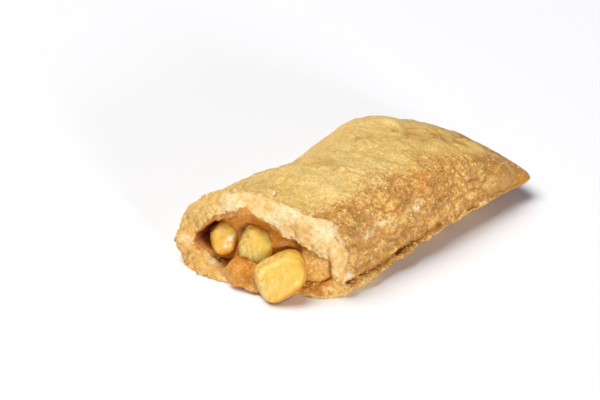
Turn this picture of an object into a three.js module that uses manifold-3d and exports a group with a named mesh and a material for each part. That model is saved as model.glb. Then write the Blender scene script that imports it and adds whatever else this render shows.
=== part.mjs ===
// A fried apple pie, torn open across one end and lying on its flat underside.
//
// Lengths are millimetres. +X runs from the torn end to the sealed end, +Y to the far long
// side and +Z up. The origin is on the flat underside, below the middle of the pie.
//
// A section across the pie is a superellipse on a seam: the crust swells up from the seam to
// the crown and down to the flat underside. Each closed solid is one grid, wrapped round the
// section and carried along the pie, whose first and last rows are pinched shut.

import * as THREE from 'three';
import { mergeVertices } from 'three/addons/utils/BufferGeometryUtils.js';
import Module from 'manifold-3d';

const wasm = await Module();
wasm.setup();

// ---- driving dimensions of the crust ----

const HALF_WIDTH = 26;
const WAIST_LOSS = 0.03;
const CROWN = 25;
const CROWN_MARGIN = 1;
const PIE_LENGTH = 90;
const SEALED_X = 51;
const NEAR_CORNER_RADIUS = 3;
const FAR_CORNER_RADIUS = 16;
const NEAR_CORNER_SKEW = 4;
const TAPER_START = 0.45;
const TAPER_POWER = 2.2;
const TAPER_SOFTNESS = 0.9;
const FLATTENING_POWER = 6;

const TEAR_NEAR_X = -36;
const TEAR_SWEEP = 17.5;
const TEAR_POWER = 2.2;
const SKIN_RECESS = { depth: 5.6, nearStart: -18, nearFull: 0, farFull: 18 };
const CEILING_RECESS = 0.6;
const LIP_REACH = { length: 2.4, nearStart: -25, nearFull: -19, farFull: 16 };
const LIP_INNER_RECESS = 1.5;
const TEAR_BULGE = 1.1;

const NEAR_SEAM_Z = 2.6;
const NEAR_SEAM_RISE = 3.6;
const NEAR_SEAM_RISE_START = 0.05;
const NEAR_SEAM_RISE_STOP = 0.5;
const NEAR_TIP_RISE = 0.6;
const FAR_SEAM_Z = 9;
const FAR_SEAM_FALL = 1.7;
const NEAR_EDGE_THICKNESS = 1.8;
const FAR_EDGE_THICKNESS = 2.5;
const SEAM_LIP = 1.2;
const SEAM_LIP_HEIGHT = 0.9;
const SEAM_CREASE_RISE = 2.2;
const SEAM_LIP_FADED = 0.25;
const UNDERSIDE_DEPTH = 1.5;
const UNDERSIDE_TAPER_POWER = 0.6;

// Powers of the superellipse: 2 is round, more is squarer.
const ROUND_POWER = 2;
const NEAR_SHOULDER_POWER = 3.6;
const UNDERSIDE_POWER_AT_TEAR = 3.2;
const UNDERSIDE_POWER = 1.5;

const SADDLE = { x: -18, y: 20, alongX: 15, alongY: 9, height: -3.8 };
const HUMP = { x: 14, y: 16, alongX: 15, alongY: 9, height: 2.8 };
const FAR_SAG = { x: -44, y: 14, alongX: 12, alongY: 9, height: -1.7 };
const FAR_TUCK = { length: 1.5, recess: 1.2, from: 12, depth: 0.12 };

// ---- the hollow that the filling sits in ----

const MOUTH = { y: -4.5, halfWidth: 18.3 };
const HOLLOW = { y: -1, halfWidth: 21.3 };
const ROOF = 3.4;
const MOUTH_ROOF = 4.6;
const FLOOR = 2.8;
const MOUTH_FLOOR = 2.1;
const HOLLOW_END = 0.86;
const HOLLOW_TAPER_START = 0.58;
const HOLLOW_SETTLED = 0.35;
const HOLLOW_END_WIDTH = 0.9;
const ROOF_GAIN = 2.2;
const HOLLOW_POWER = 2.3;
const MOUTH_TOP_POWER = 1.9;
const MOUTH_FLOOR_POWER = 3.4;
const FOLD_DEPTH = 0.14;
const HANGING_FOLD = { y: -12.5, alongY: 6.5, drop: 4.4 };
const RAISED_FOLD = { y: -0.5, alongY: 4.5, rise: 1.5 };
const NEAR_FALL = { start: -12.5, full: -20, above: 10, share: 0.8 };
const FAR_CORNER = { z: 8, alongZ: 3.6, reach: 4 };
const PIECE_GAP = 0.35;
const FILLING_INSET = 0.7;

// Where the face of the filling lies behind the tear line, and where it comes forward.
const FACE_RECESS = 3.8;
const FAR_POCKET = { y: 14, z: 9, alongY: 4, alongZ: 6, depth: 3.5 };
const TOP_POCKET = { y: -10, alongY: 6, start: 12, full: 17, depth: 4.5 };
const LAP = { y: -9, alongY: 12, start: 8, full: 4, reach: 3 };
const NEAR_SWELL = { y: -20, alongY: 6, start: 16, full: 9, reach: 3.4 };
const FACE_LUMP_SIZE = 5;
const FACE_LUMP_HEIGHT = 0.9;

// ---- relief of the fried skin and of the torn dough ----

const EDGE_RELIEF = 0.25;
const UNDERSIDE_RELIEF = 0.3;
const WAVE_SIZE = 13;
const WAVE_HEIGHT = 0.7;
const BLISTER_SPACING = 9;
const BLISTER_HEIGHT = 1.25;
const LUMP_SPACING = 6;
const LUMP_HEIGHT = 0.9;
const SKIN_SINK = 0.45;
const CRUMB_SIZE = 4.2;
const CRUMB_HEIGHT = 1.3;
const RAGGED_SIZE = 6;
const RAGGED_REACH = 2.6;

// ---- how finely each solid is divided ----

const CRUST_COLUMNS = 70;
const HOLLOW_ROWS = 11;
const TEAR_ROWS = 3;
const SLEEVE_ROWS = 31;
const EDGE_ROWS = 3;
const FILLING_COLUMNS = 44;
const FILLING_SLEEVE_ROWS = 9;
const FILLING_FRONT_ROWS = 8;
const CHUNK_DETAIL = 4;

// ---- apple chunks and the gel that runs out over the lower lip ----

// Each chunk is a rounded block between cut faces. A face is an angle and a tilt in degrees
// and its distance from the centre: the angle turns from the right towards the top, as seen by
// an eye that looks into the tear from CHUNK_VIEW, and a tilt of 90 faces that eye.
const CHUNK_VIEW = { turn: 46.3, lift: 27 };
const CHUNKS = [
  {
    name: 'apple_left', seed: 11, centre: [-47.4, 9.4, 10.2],
    faces: [
      [0, 0, 4.7], [45, 0, 6.0], [90, 10, 5.6], [129, 5, 4.7], [180, 5, 4.9], [204, 0, 5.4],
      [265, 0, 5.6], [324, 0, 4.6], [100, 70, 4.9], [330, 65, 5.0], [0, -90, 5.5],
    ],
  },
  {
    name: 'apple_middle', seed: 23, centre: [-45.7, -2.0, 10.9],
    faces: [
      [15, 0, 6.0], [56, 8, 4.3], [105, 0, 6.7], [170, 12, 5.2], [225, 10, 6.3], [270, 0, 5.7],
      [331, 10, 5.0], [40, 58, 4.6], [200, 65, 4.8], [0, -90, 6.0],
    ],
  },
  {
    name: 'apple_front', seed: 37, centre: [-48.7, -13.0, 6.5],
    faces: [
      [0, 10, 7.2], [55, 0, 8.4], [116, 5, 5.9], [165, 10, 8.4], [208, 8, 7.3], [260, 0, 7.9],
      [312, 5, 5.8], [90, 48, 6.6], [0, 88, 5.7], [235, 60, 6.7], [0, -90, 6.5],
    ],
  },
];
const CHUNK_POWER = 7;
const CHUNK_ROUGHNESS = 0.45;
const DRIP = { seed: 51, centre: [-50.0, -3.0, 4.0], half: [4.8, 7.0, 4.1], turn: 0.29 };
const DRIP_POWER = 3.2;
const LUMP_DIRECTION_SCALE = 8;
const LUMP_WAVE = 5;
const LUMP_CLEARANCE = 0.4;

// ---- small helpers ----

const clamp01 = (value) => Math.min(1, Math.max(0, value));
const mix = (from, to, share) => from + (to - from) * share;
const bell = (distance) => Math.exp(-distance * distance);

function ease(start, stop, value) {
  const share = clamp01((value - start) / (stop - start));
  return share * share * (3 - 2 * share);
}

// A repeatable number from 0 to 1 for each whole point of a lattice.
function latticeValue(ix, iy, iz, seed) {
  let hash = Math.imul(ix, 0x27d4eb2f) ^ Math.imul(iy, 0x165667b1);
  hash ^= Math.imul(iz, 0x1b873593) ^ Math.imul(seed, 0x05ebca77);
  hash = Math.imul(hash ^ (hash >>> 15), 0x2c1b3c6d);
  hash = Math.imul(hash ^ (hash >>> 12), 0x297a2d39);
  return ((hash ^ (hash >>> 15)) >>> 0) / 4294967296;
}

// Smooth noise from -1 to 1: lattice values blended over the cell that holds the point.
function noise(point, size, seed) {
  const place = [point.x / size, point.y / size, point.z / size];
  const cell = place.map(Math.floor);
  const weight = place.map((value, axis) => ease(0, 1, value - cell[axis]));
  let sum = 0;
  for (let corner = 0; corner < 8; corner += 1) {
    const step = [corner & 1, (corner >> 1) & 1, corner >> 2];
    const share = step.reduce((all, on, axis) => all * (on ? weight[axis] : 1 - weight[axis]), 1);
    sum += share * latticeValue(cell[0] + step[0], cell[1] + step[1], cell[2] + step[2], seed);
  }
  return 2 * sum - 1;
}

// Rounded blisters, one at a random place in each cell of a lattice, from 0 to 1 high.
function blisters(point, spacing, seed) {
  const place = [point.x / spacing, point.y / spacing, point.z / spacing];
  const cell = place.map(Math.floor);
  let highest = 0;
  for (let neighbour = 0; neighbour < 27; neighbour += 1) {
    const ix = cell[0] + (neighbour % 3) - 1;
    const iy = cell[1] + (Math.floor(neighbour / 3) % 3) - 1;
    const iz = cell[2] + Math.floor(neighbour / 9) - 1;
    const dx = ix + latticeValue(ix, iy, iz, seed) - place[0];
    const dy = iy + latticeValue(ix, iy, iz, seed + 1) - place[1];
    const dz = iz + latticeValue(ix, iy, iz, seed + 2) - place[2];
    const radius = mix(0.3, 0.75, latticeValue(ix, iy, iz, seed + 3));
    const inside = clamp01(1 - (dx * dx + dy * dy + dz * dz) / (radius * radius));
    highest = Math.max(highest, inside * Math.sqrt(inside) * radius);
  }
  return highest;
}

// ---- the plan of the pie: where it starts and ends at each place across its width ----

function cornerCut(across, radius) {
  const share = clamp01((across - (HALF_WIDTH - radius)) / radius);
  return radius * (1 - Math.sqrt(1 - share * share));
}

function sealedX(y) {
  const round = cornerCut(y, FAR_CORNER_RADIUS) + cornerCut(-y, NEAR_CORNER_RADIUS);
  return SEALED_X - round - NEAR_CORNER_SKEW * clamp01(-y / HALF_WIDTH) ** 1.5;
}

function tearX(y) {
  const share = clamp01((y + HALF_WIDTH) / (2 * HALF_WIDTH));
  return TEAR_NEAR_X - TEAR_SWEEP * (1 - (1 - share) ** TEAR_POWER);
}

// How far the skin stands back from the tear line, and how far the lower lip reaches past it.
function skinRecess(y) {
  const { depth, nearStart, nearFull, farFull } = SKIN_RECESS;
  return depth * ease(nearStart, nearFull, y) * (1 - ease(farFull, HALF_WIDTH, y));
}

function lipReach(y) {
  const { length, nearStart, nearFull, farFull } = LIP_REACH;
  return length * ease(nearStart, nearFull, y) * (1 - ease(farFull, HALF_WIDTH, y));
}

// ---- the section of the pie ----

function halfWidth(along) {
  return HALF_WIDTH * (1 - WAIST_LOSS * (2 * along - 1) ** 2);
}

function seamHeight(along, across) {
  const lifted = ease(NEAR_SEAM_RISE_START, NEAR_SEAM_RISE_STOP, along);
  const near = NEAR_SEAM_Z + NEAR_SEAM_RISE * lifted + NEAR_TIP_RISE * along ** 2;
  const far = FAR_SEAM_Z - FAR_SEAM_FALL * along;
  return mix(near, far, ease(-1, 1, across));
}

function edgeThickness(across) {
  return mix(NEAR_EDGE_THICKNESS, FAR_EDGE_THICKNESS, ease(0, 1, across));
}

function swelling(along) {
  const taper = clamp01((along - TAPER_START) / (1 - TAPER_START));
  return (1 - taper ** TAPER_POWER) ** TAPER_SOFTNESS;
}

// A point of the unit superellipse: cosine and sine of the turn, pushed out to its outline.
function superellipse(cosine, sine, power) {
  const reach = (Math.abs(cosine) ** power + Math.abs(sine) ** power) ** (-1 / power);
  return [cosine * reach, sine * reach];
}

// The outer skin. along runs from 0 at the tear to 1 at the sealed end; the turn starts at
// the far edge and passes over the crown, the near edge and the underside, which sinks below
// the floor where the pie rests and is later pressed flat on it.
function skinPoint(along, cosine, sine) {
  const upper = sine >= 0;
  const power = upper
    ? mix(NEAR_SHOULDER_POWER, ROUND_POWER, ease(-0.4, 0.1, cosine))
    : mix(UNDERSIDE_POWER_AT_TEAR, UNDERSIDE_POWER, ease(0, 0.35, along));
  const fullness = 1 - along ** FLATTENING_POWER;
  const [across, lift] = superellipse(cosine, sine, mix(ROUND_POWER, power, fullness));
  const seam = seamHeight(along, across);
  const swell = swelling(along);
  const rise = upper
    ? (CROWN - seam - CROWN_MARGIN) * swell
    : (seam + UNDERSIDE_DEPTH) * swell ** UNDERSIDE_TAPER_POWER;
  let z = seam + lift * rise + sine * edgeThickness(across);
  let y = halfWidth(along) * across;
  y -= FAR_TUCK.length * ease(0.3, 1, across) * ease(FAR_TUCK.depth, 0, along);
  if (across < 0) {
    const fading = mix(SEAM_LIP_FADED, 1, ease(0.6, 0.3, along)) * ease(1, 0.9, along);
    const lip = SEAM_LIP * fading * ease(0, -0.4, across);
    y -= lip * bell((z - seam) / SEAM_LIP_HEIGHT);
    if (upper) y += lip * bell((z - seam - SEAM_CREASE_RISE) / SEAM_LIP_HEIGHT);
  }
  if (upper) {
    const x = mix(tearX(y), sealedX(y), along);
    for (const swerve of [SADDLE, HUMP, FAR_SAG]) {
      const near = bell((x - swerve.x) / swerve.alongX) * bell((y - swerve.y) / swerve.alongY);
      z += swerve.height * near * ease(3, 12, z);
    }
  }
  const share = Math.sqrt(Math.abs(sine));
  const tuck = FAR_TUCK.recess * ease(FAR_TUCK.from, HALF_WIDTH, y);
  const start = tearX(y) + tuck + (upper ? skinRecess(y) : -lipReach(y)) * share;
  return new THREE.Vector3(mix(start, sealedX(y), along), y, z);
}

// The rounded sealed edge: turns from 0 on the skin to a quarter turn at its outermost line.
function edgePoint(quarter, cosine, sine) {
  const y = halfWidth(1) * cosine;
  const thickness = edgeThickness(cosine) * Math.abs(sine);
  const z = seamHeight(1, cosine) + Math.sign(sine) * thickness * Math.cos(quarter);
  return new THREE.Vector3(sealedX(y) + thickness * Math.sin(quarter), y, z);
}

// The wall of the hollow: along is the same share of the pie's length as for the skin. At
// the mouth its ceiling rises in the middle, hangs down in a fold and falls to the near side,
// where the torn dough is thick, and a corner reaches out to the far side.
function hollowPoint(along, cosine, sine, inset) {
  const end = HOLLOW_END - inset / PIE_LENGTH;
  const taper = clamp01((along - HOLLOW_TAPER_START) / (end - HOLLOW_TAPER_START));
  const closing = Math.sqrt(1 - taper * taper);
  const settle = ease(0, HOLLOW_SETTLED, along);
  const floorPower = mix(MOUTH_FLOOR_POWER, ROUND_POWER, ease(-0.4, 0.4, cosine));
  const power = sine >= 0 ? MOUTH_TOP_POWER : floorPower;
  const [across, lift] = superellipse(cosine, sine, mix(power, HOLLOW_POWER, settle));
  const reach = mix(MOUTH.halfWidth, HOLLOW.halfWidth, settle) - inset;
  const y = mix(MOUTH.y, HOLLOW.y, settle) + reach * across * mix(HOLLOW_END_WIDTH, 1, closing);
  const seam = seamHeight(along, 0);
  const swell = swelling(along);
  const roof = mix(MOUTH_ROOF, ROOF, settle) + ROOF_GAIN * (1 - swell);
  const top = seam + (CROWN - seam) * swell - roof;
  const floor = mix(MOUTH_FLOOR, FLOOR, settle);
  const height = Math.max(0, (top - floor) / 2 - inset) * closing;
  const atMouth = ease(FOLD_DEPTH, 0, along);
  const fold = HANGING_FOLD.drop * bell((y - HANGING_FOLD.y) / HANGING_FOLD.alongY)
    - RAISED_FOLD.rise * bell((y - RAISED_FOLD.y) / RAISED_FOLD.alongY);
  const level = (top + floor) / 2 + height * lift - fold * atMouth * clamp01(lift) ** 2;
  const fall = NEAR_FALL.share * ease(NEAR_FALL.start, NEAR_FALL.full, y) * atMouth;
  const z = level - fall * Math.max(0, level - NEAR_FALL.above);
  const corner = bell((z - FAR_CORNER.z) / FAR_CORNER.alongZ) * ease(0.2, 0.8, across);
  const wide = y + FAR_CORNER.reach * corner * atMouth;
  return new THREE.Vector3(mix(tearX(wide), sealedX(wide), along), wide, z);
}

// The mouth: the rim of the hollow, with its ceiling and its floor set back a little.
function mouthPoint(cosine, sine) {
  const rim = hollowPoint(0, cosine, sine, 0);
  const back = sine >= 0 ? CEILING_RECESS : LIP_INNER_RECESS;
  rim.x += back * Math.sqrt(Math.abs(sine));
  return rim;
}

// ---- grids and solids ----

// Cosine and sine of a column's turn, mirrored exactly so that pinched rows can be welded.
function columnTurn(column, columns) {
  const folded = Math.min(column, columns - column);
  const angle = (2 * Math.PI * folded) / columns;
  const side = column > columns / 2 ? -1 : 1;
  const sine = folded === 0 || 2 * folded === columns ? 0 : Math.sin(angle);
  return [Math.cos(angle), side * sine];
}

// A wrapped grid: every row of points goes round the pie, and the rows run along it.
function wrappedGrid(columns, rows, place) {
  const points = [];
  for (let row = 0; row <= rows; row += 1) {
    const ring = [];
    for (let column = 0; column <= columns; column += 1) {
      ring.push(place(row, ...columnTurn(column % columns, columns)));
    }
    points.push(ring);
  }
  return points;
}

// The outward direction at one point of a wrapped grid, from its four neighbours.
function gridNormal(points, row, column, columns) {
  const before = points[row][(column + columns - 1) % columns];
  const after = points[row][(column + 1) % columns];
  const around = after.clone().sub(before);
  const along = points[row + 1][column].clone().sub(points[row - 1][column]);
  return around.cross(along).normalize();
}

function displace(points, columns, height) {
  const moved = points.map((ring) => ring.map((point) => point.clone()));
  for (let row = 1; row < points.length - 1; row += 1) {
    for (let column = 0; column <= columns; column += 1) {
      const normal = gridNormal(points, row, column % columns, columns);
      const step = height(points[row][column], row, normal);
      moved[row][column].addScaledVector(normal, step);
      moved[row][column].z = Math.max(0, moved[row][column].z);
    }
  }
  return moved;
}

function gridGeometry(points, columns) {
  const rows = points.length - 1;
  const geometry = new THREE.PlaneGeometry(1, 1, columns, rows);
  const position = geometry.attributes.position;
  for (let index = 0; index < position.count; index += 1) {
    const point = points[Math.floor(index / (columns + 1))][index % (columns + 1)];
    position.setXYZ(index, point.x, point.y, point.z);
  }
  return welded(geometry);
}

function welded(geometry) {
  geometry.deleteAttribute('normal');
  geometry.deleteAttribute('uv');
  return mergeVertices(geometry);
}

function signedVolume(geometry) {
  const position = geometry.attributes.position;
  const index = geometry.index;
  const corners = [0, 1, 2].map(() => new THREE.Vector3());
  let volume = 0;
  for (let start = 0; start < index.count; start += 3) {
    corners.forEach((corner, step) => corner.fromBufferAttribute(position, index.getX(start + step)));
    volume += corners[0].dot(corners[1].clone().cross(corners[2])) / 6;
  }
  return volume;
}

function toManifold(geometry) {
  const triVerts = new Uint32Array(geometry.index.array);
  if (signedVolume(geometry) < 0) triVerts.reverse();
  const vertProperties = new Float32Array(geometry.attributes.position.array);
  return new wasm.Manifold(new wasm.Mesh({ numProp: 3, vertProperties, triVerts }));
}

// The largest separate piece of a solid, so that a loose scrap from a cut is dropped.
function largestPiece(manifold) {
  const pieces = manifold.decompose();
  return pieces.reduce((best, piece) => (piece.volume() > best.volume() ? piece : best));
}

function fromManifold(manifold) {
  const mesh = manifold.getMesh();
  const geometry = new THREE.BufferGeometry();
  geometry.setAttribute('position', new THREE.BufferAttribute(mesh.vertProperties, 3));
  geometry.setIndex(new THREE.BufferAttribute(mesh.triVerts, 1));
  return geometry;
}

// ---- the crust ----

const RIM_ROW = HOLLOW_ROWS;
const SKIN_ROW = RIM_ROW + TEAR_ROWS;
const EDGE_ROW = SKIN_ROW + SLEEVE_ROWS;
const LAST_ROW = EDGE_ROW + EDGE_ROWS;

function tearPoint(share, cosine, sine) {
  const bulge = TEAR_BULGE * Math.sin(Math.PI * share);
  const skin = skinPoint(0, cosine, sine);
  skin.z = Math.max(0, skin.z);
  const point = mouthPoint(cosine, sine).lerp(skin, share);
  point.x -= bulge;
  return point;
}

function crustPoint(row, cosine, sine) {
  if (row < RIM_ROW) return hollowPoint(HOLLOW_END * (1 - row / HOLLOW_ROWS), cosine, sine, 0);
  if (row < SKIN_ROW) return tearPoint((row - RIM_ROW) / TEAR_ROWS, cosine, sine);
  if (row <= EDGE_ROW) return skinPoint((row - SKIN_ROW) / SLEEVE_ROWS, cosine, sine);
  return edgePoint(((row - EDGE_ROW) / EDGE_ROWS) * (Math.PI / 2), cosine, sine);
}

function skinRelief(point) {
  const wave = WAVE_HEIGHT * noise(point, WAVE_SIZE, 1);
  const raised = BLISTER_HEIGHT * blisters(point, BLISTER_SPACING, 5);
  return wave + raised + LUMP_HEIGHT * blisters(point, LUMP_SPACING, 13) - SKIN_SINK;
}

function crustRelief(point, row, normal) {
  const torn = ease(RIM_ROW - 1, RIM_ROW, row) * (1 - ease(SKIN_ROW, SKIN_ROW + 2, row));
  const skin = ease(SKIN_ROW - 1, SKIN_ROW + 1, row) * mix(1, EDGE_RELIEF, ease(EDGE_ROW - 6, EDGE_ROW, row));
  const under = mix(UNDERSIDE_RELIEF, 1, ease(-0.8, 0.2, normal.z));
  const ragged = RAGGED_REACH * noise(point, RAGGED_SIZE, 71) + CRUMB_HEIGHT * noise(point, CRUMB_SIZE, 83);
  const facing = ease(0.2, 0.8, -normal.x);
  return skin * under * skinRelief(point) + 0.5 * torn * facing * ragged;
}

function crustSolid() {
  const smooth = wrappedGrid(CRUST_COLUMNS, LAST_ROW, crustPoint);
  return toManifold(gridGeometry(displace(smooth, CRUST_COLUMNS, crustRelief), CRUST_COLUMNS));
}

// ---- the filling ----

// How far back from the tear line the face of the filling lies.
function fillingRecess(y, z) {
  const far = FAR_POCKET.depth
    * bell((y - FAR_POCKET.y) / FAR_POCKET.alongY) * bell((z - FAR_POCKET.z) / FAR_POCKET.alongZ);
  const [top, lap, near] = [TOP_POCKET, LAP, NEAR_SWELL].map((area) => (
    bell((y - area.y) / area.alongY) * ease(area.start, area.full, z)
  ));
  const forward = Math.max(LAP.reach * lap, NEAR_SWELL.reach * near);
  return FACE_RECESS + far + TOP_POCKET.depth * top - forward;
}

function fillingPoint(row, cosine, sine) {
  const rim = hollowPoint(0, cosine, sine, FILLING_INSET);
  const length = sealedX(rim.y) - tearX(rim.y);
  const start = fillingRecess(rim.y, rim.z) / length;
  if (row <= FILLING_SLEEVE_ROWS) {
    const end = HOLLOW_END - FILLING_INSET / PIE_LENGTH;
    return hollowPoint(mix(end, start, row / FILLING_SLEEVE_ROWS), cosine, sine, FILLING_INSET);
  }
  const inward = 1 - (row - FILLING_SLEEVE_ROWS) / FILLING_FRONT_ROWS;
  const edge = hollowPoint(start, cosine, sine, FILLING_INSET);
  const y = mix(MOUTH.y, edge.y, Math.sqrt(inward));
  const middle = (CROWN - ROOF + FLOOR) / 2;
  const z = mix(middle, edge.z, inward);
  const wobble = noise(new THREE.Vector3(0, y, z), FACE_LUMP_SIZE, 91);
  const lump = FACE_LUMP_HEIGHT * wobble * (1 - inward ** 6);
  return new THREE.Vector3(tearX(y) + fillingRecess(y, z) + lump, y, z);
}

function fillingSolid() {
  const rows = FILLING_SLEEVE_ROWS + FILLING_FRONT_ROWS;
  return toManifold(gridGeometry(wrappedGrid(FILLING_COLUMNS, rows, fillingPoint), FILLING_COLUMNS));
}

// ---- apple chunks and the drip of gel ----

const DEGREE = Math.PI / 180;

// The outward direction of a chunk's face.
function faceDirection(angle, tilt) {
  const direction = new THREE.Vector3(Math.cos(angle * DEGREE), Math.sin(angle * DEGREE), 0);
  direction.multiplyScalar(Math.cos(tilt * DEGREE)).setZ(Math.sin(tilt * DEGREE));
  const upright = new THREE.Euler((90 - CHUNK_VIEW.lift) * DEGREE, 0, -CHUNK_VIEW.turn * DEGREE, 'ZYX');
  return direction.applyEuler(upright);
}

// How far a chunk reaches in a unit direction: its faces, blended round their edges.
function chunkReach({ faces, seed }, grow) {
  const planes = faces.map(([angle, tilt, distance]) => [faceDirection(angle, tilt), distance]);
  return (way) => {
    const dent = CHUNK_ROUGHNESS * noise(way.clone().multiplyScalar(LUMP_DIRECTION_SCALE), LUMP_WAVE, seed);
    let sum = 0;
    for (const [direction, distance] of planes) {
      const lean = Math.max(0, direction.dot(way));
      sum += (lean / (distance + grow + dent)) ** CHUNK_POWER;
    }
    return sum ** (-1 / CHUNK_POWER);
  };
}

// How far the drip reaches in a unit direction: a superellipsoid, turned about Z.
function dripReach({ half, turn, seed }, grow) {
  const upright = new THREE.Vector3(0, 0, 1);
  return (way) => {
    const dent = CHUNK_ROUGHNESS * noise(way.clone().multiplyScalar(LUMP_DIRECTION_SCALE), LUMP_WAVE, seed);
    const local = way.clone().applyAxisAngle(upright, -turn).toArray();
    const sum = local.reduce((all, part, axis) => (
      all + Math.abs(part / (half[axis] + grow + dent)) ** DRIP_POWER
    ), 0);
    return sum ** (-1 / DRIP_POWER);
  };
}

function lumpSolid(centre, reach, lowest) {
  const geometry = welded(new THREE.IcosahedronGeometry(1, CHUNK_DETAIL));
  const position = geometry.attributes.position;
  const way = new THREE.Vector3();
  for (let index = 0; index < position.count; index += 1) {
    way.fromBufferAttribute(position, index).normalize();
    const point = way.multiplyScalar(reach(way)).add(new THREE.Vector3(...centre));
    position.setXYZ(index, point.x, point.y, Math.max(lowest, point.z));
  }
  return toManifold(geometry);
}

const chunkSolid = (chunk, grow) => (
  lumpSolid(chunk.centre, chunkReach(chunk, grow), LUMP_CLEARANCE - grow)
);

const dripSolid = (grow) => lumpSolid(DRIP.centre, dripReach(DRIP, grow), LUMP_CLEARANCE - grow);

// ---- the finished pieces ----

function pieMesh(name, manifold, colour, roughness) {
  const material = new THREE.MeshStandardMaterial({ color: colour, roughness, metalness: 0 });
  const mesh = new THREE.Mesh(fromManifold(manifold), material);
  mesh.name = name;
  return mesh;
}

function buildPie() {
  const pie = new THREE.Group();
  let crust = crustSolid().subtract(dripSolid(PIECE_GAP));
  let filling = fillingSolid().add(dripSolid(0));
  const taken = [];
  for (const chunk of CHUNKS) {
    const room = chunkSolid(chunk, PIECE_GAP);
    crust = crust.subtract(room);
    filling = filling.subtract(room);
    const piece = taken.reduce((rest, earlier) => rest.subtract(earlier), chunkSolid(chunk, 0));
    pie.add(pieMesh(chunk.name, largestPiece(piece), 0xf0c766, 0.3));
    taken.push(room);
  }
  pie.add(pieMesh('crust', largestPiece(crust), 0xe0b56c, 0.65));
  pie.add(pieMesh('filling', largestPiece(filling), 0xc98a3c, 0.25));
  return pie;
}

export default buildPie();
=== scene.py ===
"""A fried apple pie, torn open across one end: its looks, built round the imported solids.

The crust, the gel filling and the apple chunks are numpy surfaces in the places of their
solids. Sugar, cinnamon, crumbs and torn flakes are strewn over them as small meshes.
Form is worked out in millimetres and written to the meshes in metres.
"""

import logging
import math
from collections.abc import Iterator
from dataclasses import dataclass, field
from enum import Enum

import bpy
import numpy as np
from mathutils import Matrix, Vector

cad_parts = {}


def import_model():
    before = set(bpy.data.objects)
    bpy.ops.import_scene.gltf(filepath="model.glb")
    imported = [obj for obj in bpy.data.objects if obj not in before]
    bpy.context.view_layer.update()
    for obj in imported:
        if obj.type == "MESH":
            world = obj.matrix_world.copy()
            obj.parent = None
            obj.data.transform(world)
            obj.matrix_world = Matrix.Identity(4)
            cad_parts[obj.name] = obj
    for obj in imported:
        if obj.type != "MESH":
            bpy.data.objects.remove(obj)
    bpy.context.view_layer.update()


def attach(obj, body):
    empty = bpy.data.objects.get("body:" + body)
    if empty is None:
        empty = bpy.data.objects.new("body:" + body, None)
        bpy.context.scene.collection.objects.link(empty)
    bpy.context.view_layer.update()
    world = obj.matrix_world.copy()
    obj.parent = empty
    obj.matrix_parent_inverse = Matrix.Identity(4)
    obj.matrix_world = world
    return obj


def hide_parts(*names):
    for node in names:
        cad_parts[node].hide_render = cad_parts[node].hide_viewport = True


log = logging.getLogger("apple_pie")

Array = np.ndarray
Material = bpy.types.Material
Socket = bpy.types.NodeSocket
Thing = bpy.types.Object

MM = 0.001
BODY = "root"
AXIS_KEYS = np.array([0x27D4EB2F, 0x165667B1, 0x1B873593], np.uint32)
SEED_KEY = 0x05EBCA77
SHIFTS_AND_KEYS = ((15, 0x2C1B3C6D), (12, 0x297A2D39))
LAST_SHIFT = 15
WORD = 2**32


# ---- numbers and noise


def clamp01(value: Array) -> Array:
    """Return the value held between 0 and 1."""
    return np.clip(value, 0.0, 1.0)


def mix(start: Array | float, stop: Array | float, share: Array | float) -> Array:
    """Return the value a share of the way from start to stop."""
    return start + (stop - start) * share


def join(*parts: Array) -> Array:
    """Put coordinates or other parts side by side on a new last axis."""
    return np.stack(parts, axis=-1)


def hill(value: Array, centre: float, width: float) -> Array:
    """Return a smooth hill, exp(-d^2), with d the distance from its centre in widths."""
    distance = (value - centre) / width
    return np.exp(-distance * distance)


def ease(start: float, stop: float, value: Array) -> Array:
    """Blend from 0 at start to 1 at stop: 3s^2 - 2s^3 of the share s of the way."""
    share = clamp01((value - start) / (stop - start))
    return share * share * (3 - 2 * share)


def lattice_value(cell: Array, seed: int) -> Array:
    """Give each whole lattice point a repeatable number from 0 to 1.

    Args:
        cell: Whole coordinates, with three on the last axis.
        seed: Which set of numbers to draw from.

    Returns:
        One number for each lattice point: its coordinates multiplied, mixed and hashed.
    """
    whole = cell.astype(np.int64).astype(np.uint32)
    mixed = whole[..., 0] * AXIS_KEYS[0] ^ whole[..., 1] * AXIS_KEYS[1]
    mixed ^= whole[..., 2] * AXIS_KEYS[2] ^ np.uint32(seed * SEED_KEY % WORD)
    for shift, key in SHIFTS_AND_KEYS:
        mixed = (mixed ^ (mixed >> np.uint32(shift))) * np.uint32(key)
    return (mixed ^ (mixed >> np.uint32(LAST_SHIFT))).astype(np.float64) / WORD


def noise(point: Array, size: float, seed: int) -> Array:
    """Evaluate smooth noise from -1 to 1.

    Args:
        point: Places in millimetres, with three coordinates on the last axis.
        size: Size of a lattice cell in millimetres.
        seed: Which noise.

    Returns:
        The eight lattice values round each point, blended by eased weights.
    """
    place = point / size
    cell = np.floor(place)
    weight = ease(0.0, 1.0, place - cell)
    total = np.zeros(point.shape[:-1])
    for corner in range(8):
        step = np.array([corner & 1, (corner >> 1) & 1, corner >> 2])
        share = np.where(step, weight, 1 - weight).prod(axis=-1)
        total += share * lattice_value(cell + step, seed)
    return 2 * total - 1


def layered_noise(point: Array, size: float, seed: int, layers: int) -> Array:
    """Add up octaves of noise, each half as large and half as high as the last, to -1 to 1."""
    total = sum(noise(point, size / 2**layer, seed + layer) / 2**layer for layer in range(layers))
    return total / (2 - 0.5 ** (layers - 1))


def patches(point: Array, low: float, high: float, size: float, seed: int, layers: int) -> Array:
    """Return patches: layered noise, eased to 0 at low and to 1 at high."""
    return ease(low, high, layered_noise(point, size, seed, layers))


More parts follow.
